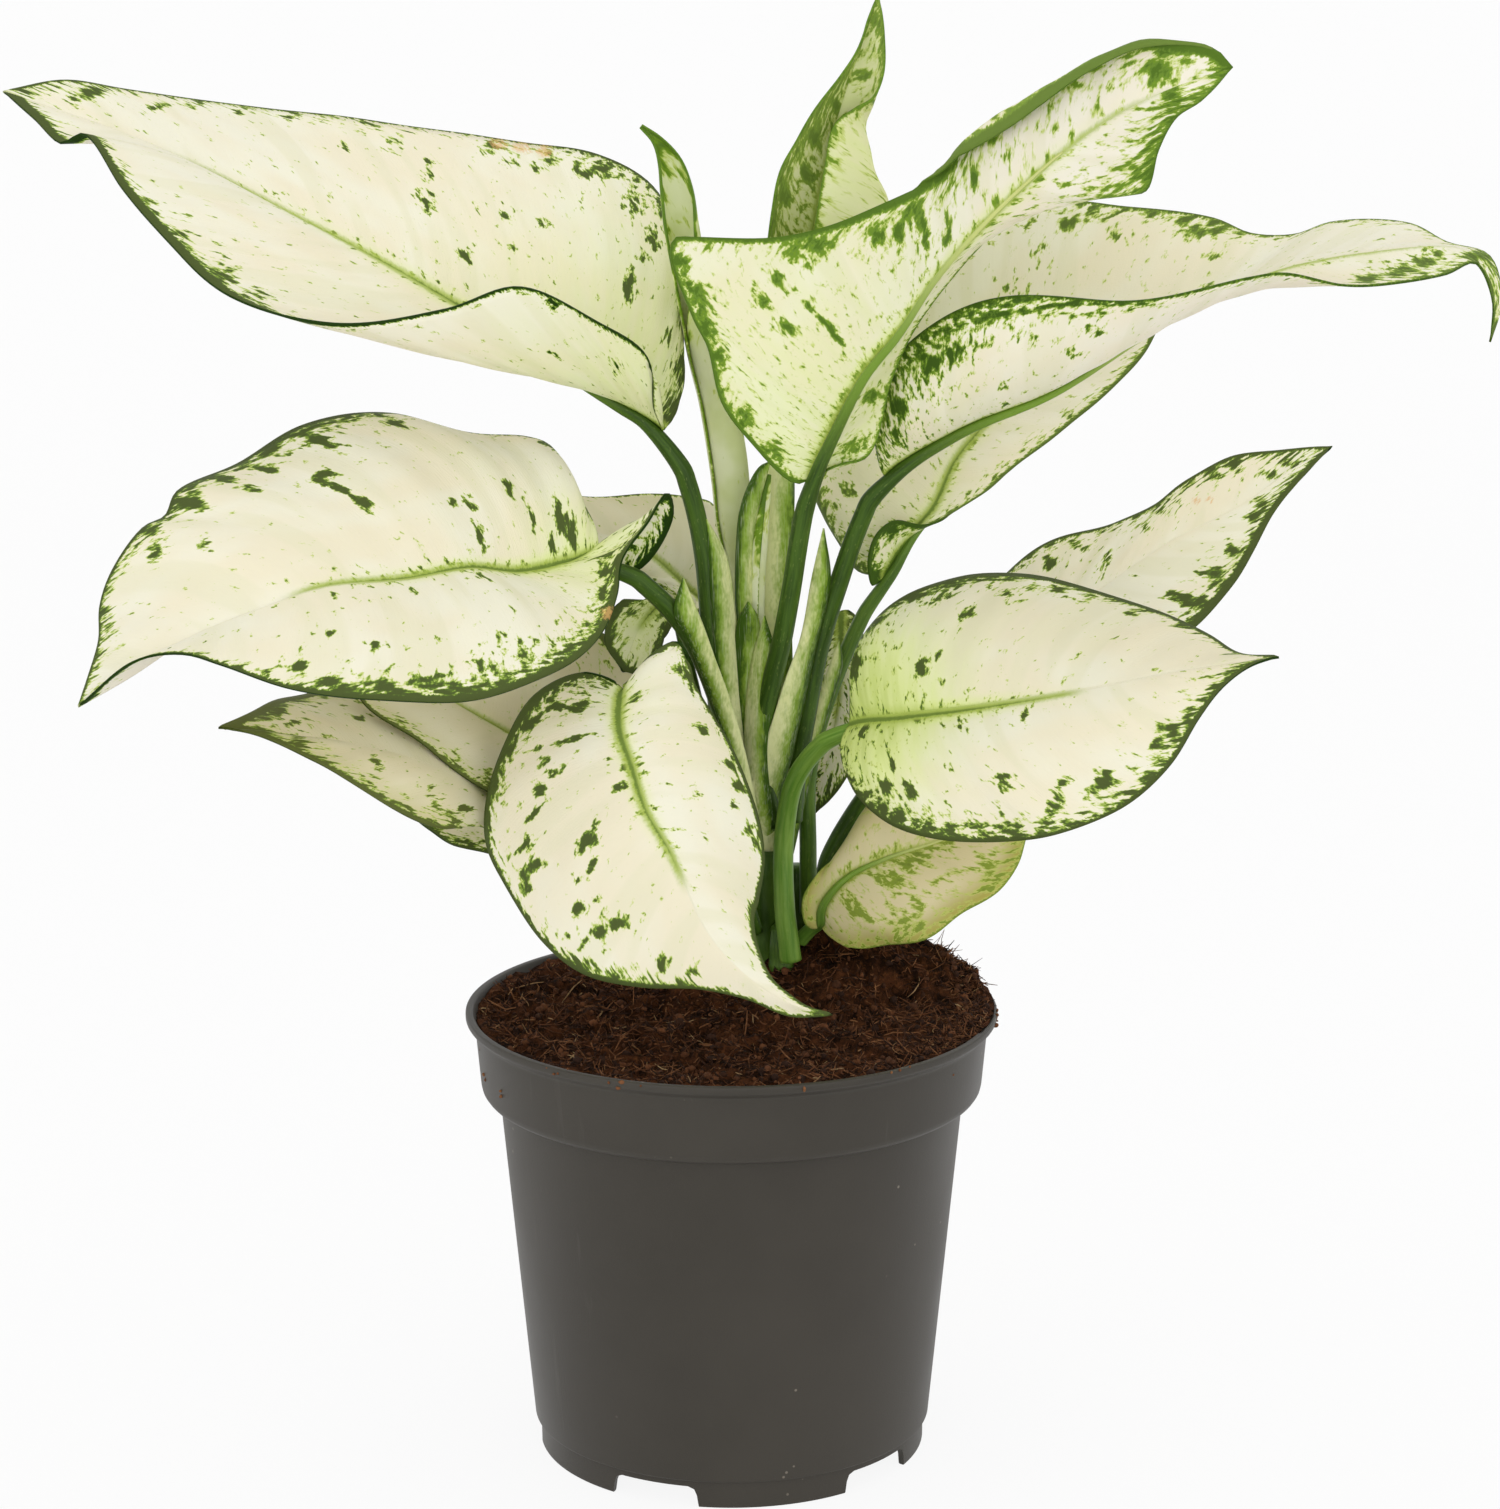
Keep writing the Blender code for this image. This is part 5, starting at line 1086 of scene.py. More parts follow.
def stalk_material():
    graph = Graph(bpy.data.materials.new("stalk"))
    run = graph.attribute("run", "Vector")
    along = graph.attribute("along")
    streaks = graph.noise(run, .8, 3, .6)
    spots = graph.noise(graph.stretched(run, (4, 1, 1)), 2.2, 2)
    dark = graph.mix(graph.step(streaks, .35, .68), rgb(47, 72, 17), rgb(70, 100, 28))
    bright = graph.mix(graph.step(streaks, .3, .7), rgb(92, 136, 42), rgb(132, 166, 70))
    colour = graph.mix(graph.attribute("tone"), dark, bright)
    colour = graph.layered(
        colour, (along, .5, .66, 1, rgb(116, 148, 50)), (along, .66, .92, 1, rgb(204, 210, 132)),
        (spots, .62, .74, .3, rgb(146, 166, 82)))
    graph.bump(graph.plus(streaks, graph.times(spots, .3)), .3, .0002)
    rough = graph.step(streaks, .3, .7, .34, .46)
    return graph.finish(colour, rough, Subsurface_Weight=.1, Specular_IOR_Level=.2)


def sheath_material():
    """Pale at the free edge, mottled, and as green as the stalk where it is joined to it."""
    graph = Graph(bpy.data.materials.new("sheath"))
    run = graph.attribute("run", "Vector")
    clouds = graph.noise(run, .5, 3, .6)
    fine = graph.noise(run, 1.8, 2)
    fibres = graph.noise(run, (3, 3, .3), 2)
    green = graph.scaled(clouds, .9, graph.minus(graph.attribute("green"), .45))
    green = graph.scaled(fine, .5, graph.minus(green, .25))
    colour = graph.layered(
        rgb(222, 226, 164), (green, .1, .75, 1, rgb(134, 164, 58)), (green, .65, 1.2, 1, rgb(60, 90, 20)),
        (fibres, .5, .75, .2, rgb(236, 238, 210)))
    graph.bump(graph.plus(clouds, fibres), .3, .0002)
    rough = graph.step(fine, .3, .7, .4, .5)
    return graph.finish(colour, rough, Subsurface_Weight=.15, Specular_IOR_Level=.1)


def furled_material():
    graph = Graph(bpy.data.materials.new("furled_leaf"))
    vein = graph.attribute("vein", "Vector")
    edge = graph.attribute("edge")
    green = graph.attribute("green")
    blotch = graph.noise(vein, (.18, .4, 1), 3, .6, .4)
    ragged = graph.noise(vein, 1.2, 2)
    cover = graph.minus(blotch, graph.scaled(green, -.62, .84))
    line = graph.step(graph.plus(edge, graph.times(ragged, .8)), .4, .9, .03, -.3)
    cover = graph.larger(cover, line)
    base = graph.mix(graph.step(graph.noise(vein, .1, 2), .35, .65), rgb(232, 236, 192), rgb(216, 224, 162))
    base = graph.mix(graph.attribute("tint"), base, rgb(138, 172, 80))
    colour = graph.layered(
        base, (cover, -.12, -.02, 1, HALO), (cover, -.05, .04, 1, MID_GREEN),
        (cover, .04, .2, 1, FADED_DARK_GREEN))
    graph.bump(blotch, .2, .0002)
    rough = graph.step(ragged, .3, .7, .38, .5)
    return graph.finish(colour, rough, Subsurface_Weight=.15, Specular_IOR_Level=.1)


def soil_material():
    graph = Graph(bpy.data.materials.new("potting_soil"))
    place = graph.place()
    lumps = graph.noise(place, 220, 4, .65)
    grains = graph.noise(place, 900, 3, .7)
    colour = graph.layered(
        rgb(25, 12, 5), (lumps, .35, .68, 1, rgb(84, 49, 28)), (grains, .5, .75, .6, rgb(112, 70, 40)))
    graph.bump(graph.plus(lumps, grains), 1, .0012)
    return graph.finish(colour, graph.step(grains, .3, .7, .85, 1), Specular_IOR_Level=.08)


def fibre_material():
    graph = Graph(bpy.data.materials.new("soil_fibres"))
    shade = graph.attribute("shade")
    place = graph.place()
    grains = graph.noise(place, 1200, 3, .7)
    colour = graph.layered(
        rgb(44, 24, 13), (shade, 0, .5, 1, rgb(108, 66, 38)), (shade, .5, .85, 1, rgb(138, 94, 60)),
        (shade, .93, 1, 1, rgb(188, 156, 112)), (grains, .4, .7, .45, rgb(32, 20, 13)))
    graph.bump(grains, .6, .0003)
    return graph.finish(colour, graph.step(grains, .3, .7, .8, 1), Specular_IOR_Level=.25)


def pot_material():
    graph = Graph(bpy.data.materials.new("pot_plastic"))
    place = graph.place()
    slow = graph.noise(place, 18, 3, .6)
    grain = graph.noise(place, 2600, 2)
    dust = graph.node("TexVoronoi", place, output="Distance", named=dict(Scale=240))
    dust_gate = graph.noise(place, 60, 2)
    drag = graph.noise(place, (220, 220, 14), 3, .7)
    colour = graph.mix(graph.step(slow, .3, .7), rgb(54, 50, 43), rgb(61, 57, 50))
    specks = graph.times(graph.step(dust, .06, .1, 1, 0), graph.step(dust_gate, .56, .62))
    colour = graph.mix(graph.times(specks, .5), colour, rgb(150, 140, 126))
    colour = graph.mix(graph.step(drag, .66, .74, 0, .07), colour, rgb(112, 108, 102))
    graph.bump(graph.plus(grain, graph.times(drag, .5)), .25, .00015)
    return graph.finish(colour, graph.step(slow, .3, .7, .42, .52), Specular_IOR_Level=.3)


# ---------------------------------------------------------------- furled leaves, sheaths and canes

ROLL_ROWS, ROLL_COLUMNS, ROLL_THICKNESS = 130, 48, .45
SHEATH_ROWS, SHEATH_COLUMNS, SHEATH_THICKNESS = 70, 14, .5
CANE_RINGS, CANE_SIDES = 60, 28
CANE_NODES = (.25, 9, .6)     # height, spacing and width of the rings that old leaves left on a cane
FRONT = np.array((0, -1.0, 0))


def build_furled(name, spec, material):
    """A young leaf as a sheet rolled round its own length, opening towards its tip."""
    rows, columns = ROLL_ROWS, ROLL_COLUMNS
    track = smooth_path([(*seat(spec), spec["foot_radius"])] + spec["path"], rows)
    path, radii = track[:, :3], np.maximum(track[:, 3], .25)
    along = unit(np.gradient(path, axis=0))
    facing = unit(FRONT - (along @ FRONT)[:, None] * along)
    sideways = np.cross(along, facing)
    stations = np.linspace(0, 1, rows)
    turns = blend(spec["turns"], stations)
    across = np.linspace(0, 1, columns)
    angle = radians(spec["free_edge"]) - (1 - across)[None, :] * turns[:, None] * 2 * pi
    reach = radii[:, None] * (.78 + .22 * across[None, :])
    sheet = (path[:, None] + reach[..., None] * (np.cos(angle)[..., None] * facing[:, None]
                                                 + np.sin(angle)[..., None] * sideways[:, None]))
    length = lengths_along(path)[-1]
    width = turns[:, None] * 2 * pi * radii[:, None]
    edge = np.minimum(across[None, :] * width, (1 - across[None, :]) * width)
    vein = np.stack([np.repeat(stations[:, None] * length, columns, 1), across[None, :] * width,
                     np.full((rows, columns), 7.0)], -1)
    upper = np.clip((stations[:, None] - .6) / .4, 0, 1)
    green = (.1 + .75 * upper) * np.exp(-edge / 2.2) + .22 * upper + .14
    tint = np.repeat(.08 + .5 * np.clip(1 - stations[:, None] / .35, 0, 1), columns, 1)
    item = piece(name + "_roll", sheet.reshape(-1, 3), grid_faces(rows, columns), material, [name],
                 dict(vein=vein.reshape(-1, 3), edge=edge.ravel(), green=green.ravel(),
                                    tint=tint.ravel()))
    thicken(item, ROLL_THICKNESS)


def build_sheath(name, spec, material):
    """A thin bulging wing between two edges that meet in a point at the top."""
    rows, columns = SHEATH_ROWS, SHEATH_COLUMNS
    edges = [smooth_path(spec[side] + [spec["top"]], rows) for side in ("left", "right")]
    across = np.linspace(0, 1, columns)
    stations = np.linspace(0, 1, rows)
    bulge = spec["bulge"] * np.minimum(1, np.linalg.norm(edges[1] - edges[0], axis=1) / 4)
    middle = (edges[0] + edges[1]) / 2 + 2 * FRONT * bulge[:, None]
    t = across[None, :, None]
    sheet = (1 - t) ** 2 * edges[0][:, None] + 2 * t * (1 - t) * middle[:, None] + t ** 2 * edges[1][:, None]
    low, high = spec["green"]
    from_stalk = across if spec["joined"] == "left" else 1 - across
    green = (low + (high - low) * stations ** 1.5)[:, None] + 1.2 * (1 - from_stalk[None, :]) ** 2.2
    item = piece(name, sheet.reshape(-1, 3), grid_faces(rows, columns), material, [spec["node"]],
                 dict(green=green.ravel(), run=(sheet * (1, 1, .4)).reshape(-1, 3)))
    thicken(item, SHEATH_THICKNESS)


def build_cane(name, cane, material):
    heights = np.array([cane["foot"], cane["shoulder"], cane["top"] - 1, cane["top"]])
    radii = [cane["radius"], cane["radius"], cane["tip_radius"] + .1, cane["tip_radius"] - .6]
    z = np.linspace(heights[0], heights[-1], CANE_RINGS)
    swell, spacing, width = CANE_NODES
    nodes = swell * np.exp(-(((z - heights[0]) % spacing - spacing / 2) / width) ** 2)
    path = np.stack([*np.broadcast_arrays(*cane["axis"], z)], -1)
    vertices, faces, ring = tube(path, np.interp(z, heights, radii) + nodes, CANE_SIDES)
    shade = np.full(len(ring), .2)
    piece(name + "_stem", vertices, faces, material, [name],
          dict(along=shade, tone=shade, run=vertices * (.5, .5, .08)))


# ---------------------------------------------------------------- soil

POT_HEIGHT = 102.8
RIM_RADIUS = 60.0
RIM_DEPTH = 1.6
COLLAR_TOP_RADIUS = 57.9
COLLAR_RADIUS = 56.5
COLLAR_BOTTOM = 84.0
COLLAR_CORNER = 2.2     # how round the collar's lower corner is
WALL_TOP_RADIUS = 52.6
WALL_FOOT_RADIUS = 44.9
FOOT_HEIGHT = 6.6
FOOT_RADIUS = 44.1
WALL = 1.2
FLOOR_UNDERSIDE = 5.4
FLOOR_TOP = 6.9
NOTCH_COUNT = 5
NOTCH_WIDTH = 20.0
NOTCH_HEIGHT = 4.8
NOTCH_CORNER = 2.0
NOTCH_DEPTH = 6.0
FIRST_NOTCH = -113.0
DRAIN_COUNT = 8
DRAIN_RADIUS = 4.0
DRAIN_CIRCLE = 30.0
DRAIN_SIDES = 32
DRILL_LENGTH = 10.0
POT_SEGMENTS = 220
SHARP_ANGLE = radians(40)
SOIL_LEVEL = 100.8
SOIL_EDGE_HEIGHT = 101.6
SOIL_GAP = .35          # between the soil and the pot's wall
SPILL_DIRECTION = radians(8)     # soil lies over the rim on this side
SPILL_SPREAD = radians(38)
# Rise and lump size of each layer of the soil's roughness
ROUGHNESS = ((1.5, 9), (1.2, 4), (1.1, 1.9), (.7, .9))
SOIL_RINGS, SOIL_SEGMENTS = 95, 260
FIBRE_COUNT = 7000
FIBRE_POINTS = 5
FIBRE_LENGTHS = (1, 4)
LONG_FIBRE_LENGTHS = (4, 11)
LONG_FIBRE_EVERY = 9
FIBRE_WIDTHS = (.07, .2)
FIBRE_TAPER = np.array([.5, 1, 1, .9, .4])
CRUMB_COUNT = 1500
# Mounds of the soil's top: place, spread and rise
MOUNDS = [((30, 21), 18, 14.5), ((27, 12), 8, 5), ((50, 12), 13, 4), ((8, 10), 16, 4.5), ((-10, 28), 24, 2.5)]
# Crumbs that stuck to the pot: direction, height, spread and how many
CRUMBS_ON_POT = [(-163, 91, .8, 3), (-167, 96, .8, 3), (-150, 96, 1.5, 5), (-152, 90, .8, 3),
                 (-130, 102.9, 2, 4), (-112, 102.9, 2, 4), (-75, 102.9, 1.5, 3), (-52, 102.9, 1.5, 3),
                 (-31, 98, 1.6, 14), (-37, 99, 2, 6), (-6, 101.5, 1.5, 9), (-2, 99, 1.5, 5)]


def turned(radius, angle, height):
    """Points at radii, directions and heights about the pot's axis."""
    return np.stack([*np.broadcast_arrays(radius * np.cos(angle), radius * np.sin(angle), height)], -1)


def spun(points, angle):
    """Points turned about the pot's axis."""
    x, y, z = np.asarray(points, float).T
    return np.stack([x * cos(angle) - y * sin(angle), x * sin(angle) + y * cos(angle), z], -1)


def inner_wall_radius(height):
    """Inside radius of the pot at a height, collar included."""
    heights = [FLOOR_TOP, COLLAR_BOTTOM - WALL, COLLAR_BOTTOM + WALL, POT_HEIGHT - 2 * RIM_DEPTH, POT_HEIGHT]
    radii = [WALL_FOOT_RADIUS - WALL, WALL_TOP_RADIUS - WALL, COLLAR_RADIUS - WALL,
             COLLAR_TOP_RADIUS - WALL, RIM_RADIUS - WALL]
    return float(np.interp(height, heights, radii))


def soil_height(x, y):
    height = SOIL_LEVEL + np.zeros(np.broadcast(x, y).shape)
    for (mound_x, mound_y), spread, rise in MOUNDS:
        height = height + rise * np.exp(-((x - mound_x) ** 2 + (y - mound_y) ** 2) / spread ** 2)
    return height


def spill(angle):
    """How far the soil lies over the rim in a direction, from 0 to 1."""
    turn = (angle - SPILL_DIRECTION + pi) % (2 * pi) - pi
    return np.exp(-(turn / SPILL_SPREAD) ** 4)


def soil_limit(angle):
    """Radius where the soil ends in a direction."""
    inside = inner_wall_radius(SOIL_EDGE_HEIGHT) - SOIL_GAP
    return inside + (RIM_RADIUS - .6 - inside) * spill(angle)


def soil_surface(x, y):
    """Height of the rough soil top."""
    flat = np.stack([x, y, np.zeros_like(x)], -1)
    rough = sum(rise * lattice_noise(flat, size, seed) for seed, (rise, size) in enumerate(ROUGHNESS, 11))
    angle = np.arctan2(y, x)
    over = spill(angle)
    edge = np.clip((soil_limit(angle) - np.hypot(x, y)) / (6 - 2 * over), 0, 1) ** (1 - .5 * over)
    low = SOIL_EDGE_HEIGHT + over * (POT_HEIGHT + .6 - SOIL_EDGE_HEIGHT)
    height = soil_height(x, y) * edge + low * (1 - edge) + rough * (.35 + .65 * edge)
    least = SOIL_EDGE_HEIGHT + (low - SOIL_EDGE_HEIGHT) * over
    return np.where(over > .05, np.maximum(height, least), height)


def build_soil(material, fibre_look):
    angles = np.arange(SOIL_SEGMENTS) * 2 * pi / SOIL_SEGMENTS
    top = turned(np.linspace(1, 0, SOIL_RINGS + 1)[:-1, None] * soil_limit(angles)[None], angles, 0.0)
    top[..., 2] = soil_surface(top[..., 0], top[..., 1])
    heights = (FLOOR_TOP + .3, COLLAR_BOTTOM - WALL, COLLAR_BOTTOM + WALL, SOIL_EDGE_HEIGHT - 1.5)
    sides = [turned(inner_wall_radius(height) - SOIL_GAP, angles, height) for height in heights]
    lip = POT_HEIGHT + .15 - (POT_HEIGHT + .15 - SOIL_EDGE_HEIGHT + .8) * (1 - spill(angles))
    sides.append(turned(inner_wall_radius(SOIL_EDGE_HEIGHT) - SOIL_GAP, angles, lip))
    grid = np.concatenate([np.array(sides), top])
    middle = float(soil_surface(np.zeros(1), np.zeros(1))[0])
    vertices, faces = closed_rings(grid, (0, 0, heights[0]), (0, 0, middle))
    piece("soil_body", vertices, faces, material, ["potting_soil"])
    generator = np.random.default_rng(5)
    build_fibres(fibre_look, generator)
    build_crumbs(fibre_look, generator)


def random_spots(generator, count):
    """Places on the soil's top, a few more of them where it lies over the rim."""
    spilt = count // 8
    angle = generator.uniform(0, 2 * pi, count)
    angle[:spilt] = SPILL_DIRECTION + generator.normal(0, .5, spilt)
    share = np.sqrt(generator.uniform(0, 1, count))
    share[:spilt] = 1 - .12 * share[:spilt]
    radius = (soil_limit(angle) - .8) * share
    return radius * np.cos(angle), radius * np.sin(angle)


def build_fibres(material, generator):
    """Loose coir fibres on the soil."""
    fibres = []
    faces = grid_faces(FIBRE_POINTS, 3, closed=True)
    x, y = random_spots(generator, FIBRE_COUNT)
    z = soil_surface(x, y)
    for k in range(FIBRE_COUNT):
        length = generator.uniform(*(FIBRE_LENGTHS if k % LONG_FIBRE_EVERY else LONG_FIBRE_LENGTHS))
        width = generator.uniform(*FIBRE_WIDTHS)
        heading = generator.uniform(0, 2 * pi)
        tilt = generator.normal(0, .5)
        turn = generator.normal(0, 1.2)
        t = np.linspace(-.5, .5, FIBRE_POINTS)
        angle = heading + turn * t
        step = length / (FIBRE_POINTS - 1)
        rise = sin(tilt) + generator.normal(0, .15, FIBRE_POINTS)
        move = np.stack([np.cos(angle) * cos(tilt), np.sin(angle) * cos(tilt), rise], -1) * step
        path = np.cumsum(move, axis=0)
        path += np.array([x[k], y[k], z[k] + .25]) - path[FIBRE_POINTS // 2]
        around = np.arctan2(path[:, 1], path[:, 0])
        room = soil_limit(around) - .3 + 1.5 * spill(around)
        if (np.hypot(path[:, 0], path[:, 1]) > room).any():
            continue
        path[:, 2] = np.maximum(path[:, 2], soil_surface(path[:, 0], path[:, 1]) - .3)
        rings = tube_points(path, width * FIBRE_TAPER, 3)
        fibres.append((rings.reshape(-1, 3), faces, generator.uniform(0, 1) ** 1.6))
    build_loose("soil_fibres", fibres, material)


def build_crumbs(material, generator):
    """Crumbs of peat on the soil and a few on the pot."""
    crumbs = []
    crumb, faces = crumb_shape()
    x, y = random_spots(generator, CRUMB_COUNT)
    places = [(*spot, generator.uniform(.25, 1) * generator.uniform(.5, 1.1), generator.uniform(0, .6) ** 1.3)
              for spot in zip(x, y, soil_surface(x, y) + .2)]
    for angle, height, spread, amount in CRUMBS_ON_POT:
        for _ in range(amount):
            turn = radians(angle) + generator.normal(0, spread) / COLLAR_RADIUS
            radius = RIM_RADIUS if height > POT_HEIGHT - 2 else COLLAR_RADIUS + .6
            places.append((radius * cos(turn), radius * sin(turn), height + generator.normal(0, spread / 2),
                           generator.uniform(.2, .55), generator.uniform(.3, .8)))
    for k, (px, py, pz, size, shade) in enumerate(places):
        stretch = generator.uniform(.6, 1.3, 3) * size
        spin = generator.uniform(0, 2 * pi)
        points = spun(crumb, spin)
        lumpy = points * (1 + .3 * lattice_noise(points * 3 + k, 1.1, 21))[:, None] * stretch
        crumbs.append((lumpy + (px, py, pz), faces, shade))
    build_loose("soil_crumbs", crumbs, material)


def build_loose(name, bits, material):
    """Many loose bits as one mesh: each has its points, faces and shade."""
    faces = []
    count = 0
    for points, bit_faces, _ in bits:
        faces.extend([tuple(count + index for index in face) for face in bit_faces])
        count += len(points)
    shades = [np.full(len(points), shade) for points, _, shade in bits]
    piece(name, np.vstack([points for points, _, _ in bits]), faces, material, ["potting_soil"],
          dict(shade=np.concatenate(shades)))


def crumb_shape():
    shape = bmesh.new()
    bmesh.ops.create_icosphere(shape, subdivisions=2, radius=1)
    vertices = np.array([v.co[:] for v in shape.verts])
    faces = [[v.index for v in face.verts] for face in shape.faces]
    shape.free()
    return vertices, faces


# ---------------------------------------------------------------- pot

def fillet(corner, before, after, radius, count=5):
    """Points of an arc that rounds one corner of a profile."""
    corner, before, after = (np.array(p, float) for p in (corner, before, after))
    to_before, to_after = unit(before - corner), unit(after - corner)
    start, end = corner + to_before * radius, corner + to_after * radius
    t = np.linspace(0, 1, count)[:, None]
    return [tuple(p) for p in (1 - t) ** 2 * start + 2 * t * (1 - t) * corner + t ** 2 * end]


def rounded(profile):
    """A profile of (radius, height, rounding) with its corners rounded."""
    points = []
    for k, (r, z, rounding) in enumerate(profile):
        if rounding and 0 < k < len(profile) - 1:
            points += fillet((r, z), profile[k - 1][:2], profile[k + 1][:2], rounding)
        else:
            points.append((r, z))
    return points


def build_pot(material):
    inner = [(inner_wall_radius(z), z) for z in (POT_HEIGHT, POT_HEIGHT - 2 * RIM_DEPTH, COLLAR_BOTTOM + WALL,
                                                 COLLAR_BOTTOM - WALL, FLOOR_TOP)]
    profile = [(0, FLOOR_TOP, 0), (inner[4][0], FLOOR_TOP, 1.5), (*inner[3], .8), (*inner[2], .8),
               (*inner[1], .5), (RIM_RADIUS - 1.6, POT_HEIGHT, .45), (RIM_RADIUS, POT_HEIGHT, .5),
               (RIM_RADIUS, POT_HEIGHT - RIM_DEPTH, .5), (COLLAR_TOP_RADIUS, POT_HEIGHT - 2 * RIM_DEPTH, .8),
               (COLLAR_RADIUS, COLLAR_BOTTOM, COLLAR_CORNER), (WALL_TOP_RADIUS, COLLAR_BOTTOM, .5),
               (WALL_FOOT_RADIUS + .4, FOOT_HEIGHT, .3), (FOOT_RADIUS, FOOT_HEIGHT - .4, .3),
               (FOOT_RADIUS, 0, .4), (FOOT_RADIUS - 1.5, 0, .4),
               (FOOT_RADIUS - 1.5, FLOOR_UNDERSIDE, .5), (0, FLOOR_UNDERSIDE, 0)]
    outline = np.array(rounded(profile))
    angles = np.arange(POT_SEGMENTS) * 2 * pi / POT_SEGMENTS
    rings = turned(outline[1:-1, :1], angles, outline[1:-1, 1:])
    vertices = np.vstack([rings.reshape(-1, 3), [[0, 0, FLOOR_TOP]], [[0, 0, FLOOR_UNDERSIDE]]])
    faces = grid_faces(len(rings), POT_SEGMENTS, closed=True)
    top, bottom = len(vertices) - 2, len(vertices) - 1
    end = (len(rings) - 1) * POT_SEGMENTS
    for k in range(POT_SEGMENTS):
        after = (k + 1) % POT_SEGMENTS
        faces.append((top, k, after))
        faces.append((bottom, end + after, end + k))
    pot = piece("nursery_pot", vertices, [face[::-1] for face in faces], material, ["pot"])
    cutters = [notch_cutter(radians(FIRST_NOTCH + index * 360 / NOTCH_COUNT)) for index in range(NOTCH_COUNT)]
    for angle in np.arange(DRAIN_COUNT) * 2 * pi / DRAIN_COUNT:
        bpy.ops.mesh.primitive_cylinder_add(vertices=DRAIN_SIDES, radius=DRAIN_RADIUS * MM,
                                            depth=DRILL_LENGTH * MM)
        drill = bpy.context.object
        drill.location = turned(DRAIN_CIRCLE, angle, FLOOR_TOP) * MM
        cutters.append(drill)
    for cutter in cutters:
        carve = pot.modifiers.new("cut", "BOOLEAN")
        carve.operation = "DIFFERENCE"
        carve.object = cutter
        carve.solver = "EXACT"
    evaluated = pot.evaluated_get(bpy.context.evaluated_depsgraph_get())
    carved = bpy.data.meshes.new_from_object(evaluated)
    pot.modifiers.clear()
    pot.data = carved
    for cutter in cutters:
        bpy.data.objects.remove(cutter, do_unlink=True)
    pot.data.set_sharp_from_angle(angle=SHARP_ANGLE)


def notch_cutter(angle):
    """A block with a rounded top that cuts one notch out of the foot."""
    half, height, corner = NOTCH_WIDTH / 2, NOTCH_HEIGHT, NOTCH_CORNER
    section = [(-half - .6, -1), (half + .6, -1), (half, height - corner),
               (half - corner * .3, height - corner * .3), (half - corner, height), (-half + corner, height),
               (-half + corner * .3, height - corner * .3), (-half, height - corner)]
    vertices = spun([(out, across, z) for out in (FOOT_RADIUS - NOTCH_DEPTH, FOOT_RADIUS + NOTCH_DEPTH)
                     for across, z in section], angle)
    count = len(section)
    faces = [(k, (k + 1) % count, count + (k + 1) % count, count + k) for k in range(count)]
    faces += [tuple(range(count))[::-1], tuple(range(count, 2 * count))]
    data = bpy.data.meshes.new("notch_cutter")
    data.from_pydata((vertices * MM).tolist(), [], faces)
    return add_object("notch_cutter", data)


# ---------------------------------------------------------------- stage, light and camera

PAPER = rgb(238, 238, 238)
PAPER_GLOW = .9
WORLD_STRENGTH = .84
# Soft boxes: place and target in metres, width and height, and power
LIGHTS = (("left_softbox", (-1.3, -1.3, .5), (0, 0, .18), (1.5, 1.3), 3.8),
          ("right_softbox", (1.3, -1.2, .5), (0, 0, .18), (1.5, 1.3), 3.4),
          ("front_softbox", (0, -1.9, .1), (0, 0, .2), (2.6, 1.8), 11),
          ("top_softbox", (0, .1, 1.7), (0, 0, .2), (1.4, 1.2), 2.4))
CAMERA_PLACE = (.0042, -.8883, .3734)
CAMERA_TILT = radians(-13.44)
LENS, SENSOR = 97.8, 36


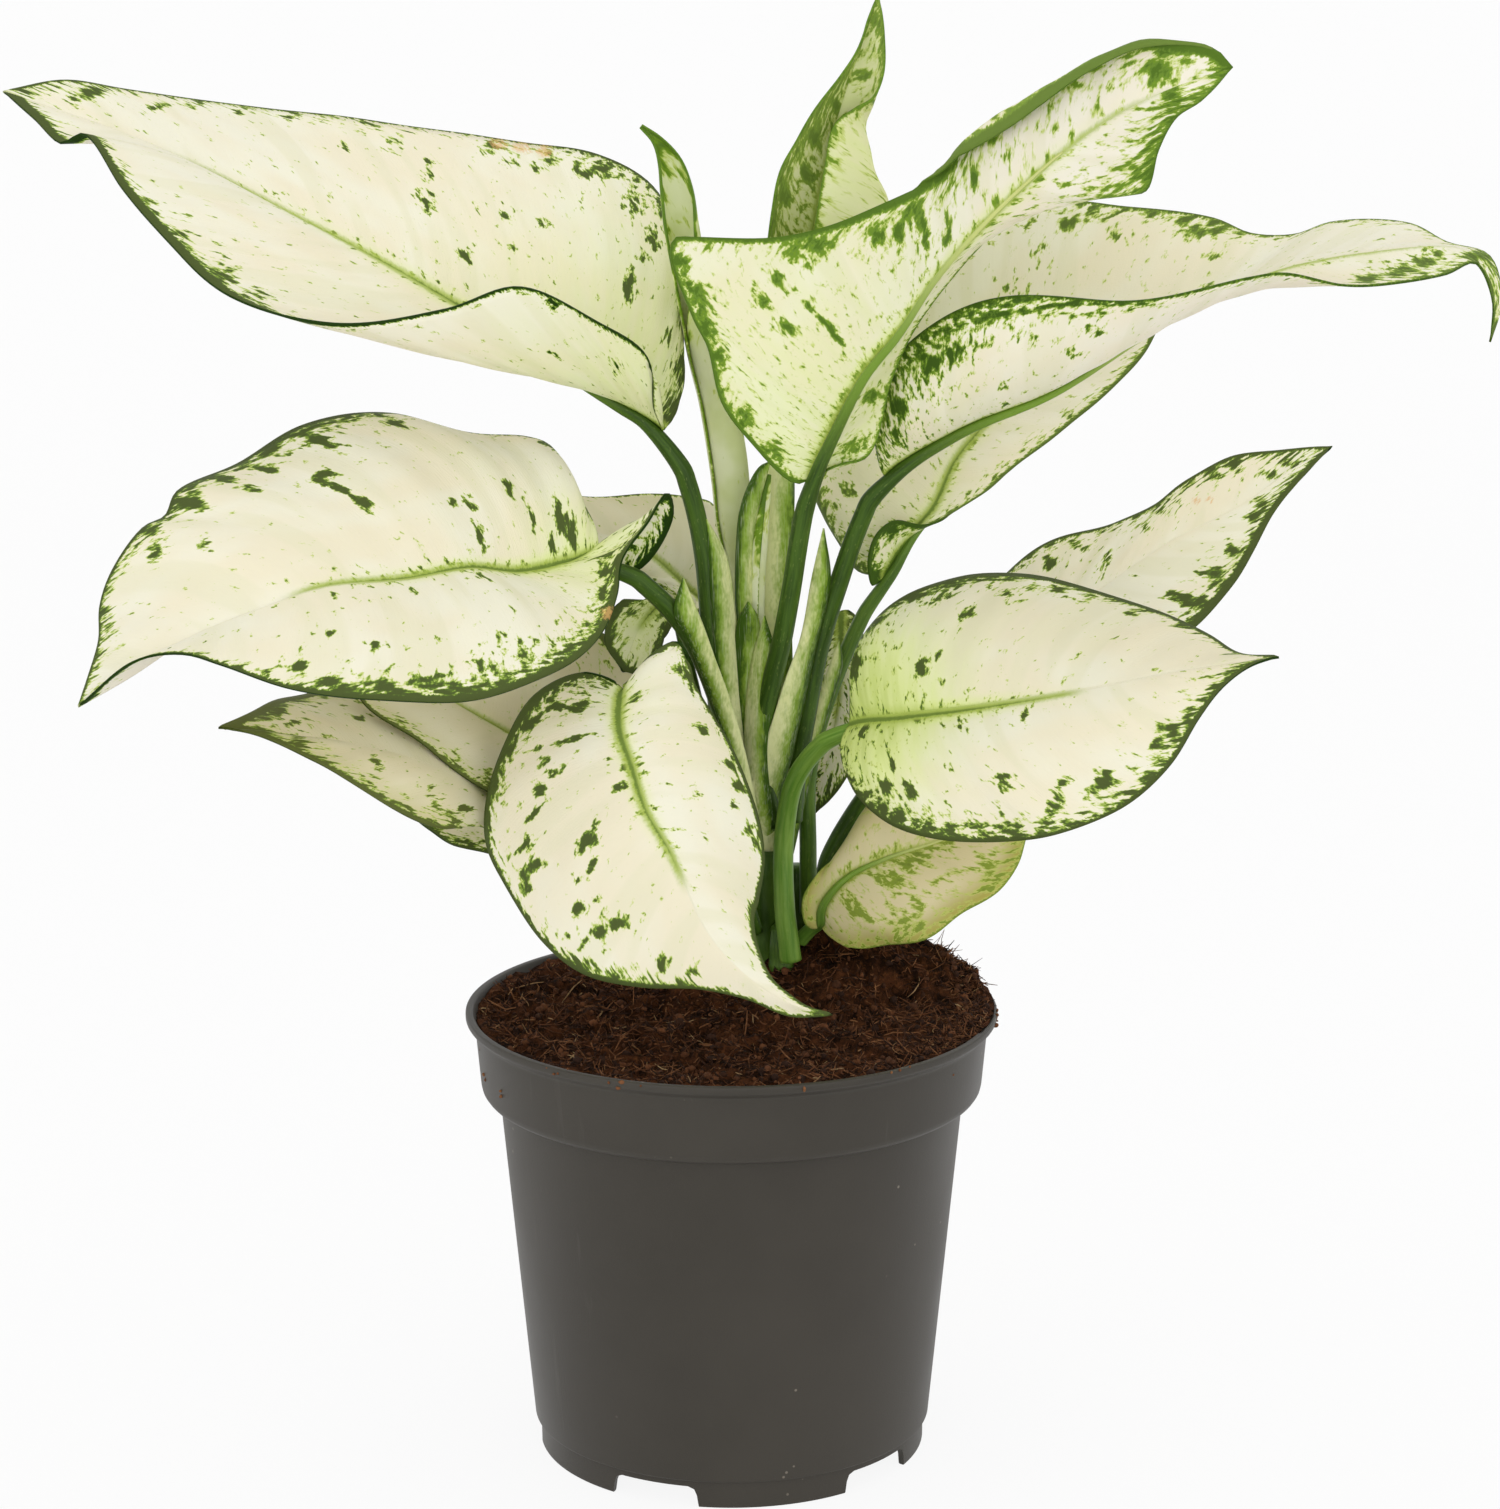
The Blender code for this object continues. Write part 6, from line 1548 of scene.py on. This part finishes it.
def build_stage():
    """A pale floor that sweeps up into a backdrop, white to the camera but for a soft shadow."""
    front, depth, height, bend, half_width = -2.2, 1.6, 2.2, .5, 3.0     # metres
    line = [(front, 0), (depth - bend, 0)]
    line += [(depth - bend + bend * sin(a), bend - bend * cos(a)) for a in np.linspace(.1, pi / 2, 12)]
    line += [(depth, height)]
    vertices = [(x, y, z) for y, z in line for x in (-half_width, half_width)]
    faces = [(2 * k, 2 * k + 1, 2 * k + 3, 2 * k + 2) for k in range(len(line) - 1)]
    data = bpy.data.meshes.new("sweep")
    data.from_pydata(vertices, [], faces)
    data.shade_smooth()
    add_object("sweep", data)
    graph = Graph(bpy.data.materials.new("paper"))
    data.materials.append(graph.finish(PAPER, .9))
    graph.show_white("Emission", PAPER_GLOW, "Material Output")


def build_lights():
    for name, place, target, size, power in LIGHTS:
        light = bpy.data.lights.new(name, "AREA")
        light.shape = "RECTANGLE"
        light.size, light.size_y = size
        light.energy = power
        item = add_object(name, light)
        item.location = place
        item.rotation_euler = (Vector(target) - Vector(place)).to_track_quat("-Z", "Y").to_euler()
    world = bpy.data.worlds.new("studio")
    bpy.context.scene.world = world
    graph = Graph(world, "Background")
    graph.shader.inputs["Color"].default_value = WHITE
    graph.shader.inputs["Strength"].default_value = WORLD_STRENGTH
    graph.show_white("Background", 1, "World Output")


def build_camera():
    """Nearly level with the leaves and looking a little down, through a long lens."""
    camera = bpy.data.cameras.new("camera")
    camera.sensor_width = SENSOR
    camera.lens = LENS
    camera.clip_end = 20
    item = add_object("camera", camera)
    item.location = CAMERA_PLACE
    item.rotation_euler = (pi / 2 + CAMERA_TILT, 0, 0)
    bpy.context.scene.camera = item


# ---------------------------------------------------------------- everything together

def main():
    upper, under = leaf_material("leaf_upper_side", False), leaf_material("leaf_underside", True)
    stalk_look, sheath_look, furled_look = stalk_material(), sheath_material(), furled_material()
    for seed, (name, spec) in enumerate(LEAVES.items(), 1):
        radii = STALK_RADII.get(name, USUAL_STALK_RADII)
        shape = LeafShape(dict(spec, foot_radius=radii[0]))
        build_blade(name, shape, {**USUAL_LOOK, **LOOKS[name], "seed": seed}, [upper, under])
        build_stalk(name, shape, radii, stalk_look, TONES.get(name, 0))
    for name, spec in SHEATHS.items():
        build_sheath(name, spec, sheath_look)
    for name, spec in FURLED.items():
        build_furled(name, spec, furled_look)
    for name, cane in CANES.items():
        build_cane(name, cane, stalk_look)
    build_soil(soil_material(), fibre_material())
    build_pot(pot_material())
    build_stage()
    build_lights()
    build_camera()
    bpy.context.scene.view_settings.view_transform = "Standard"


main()
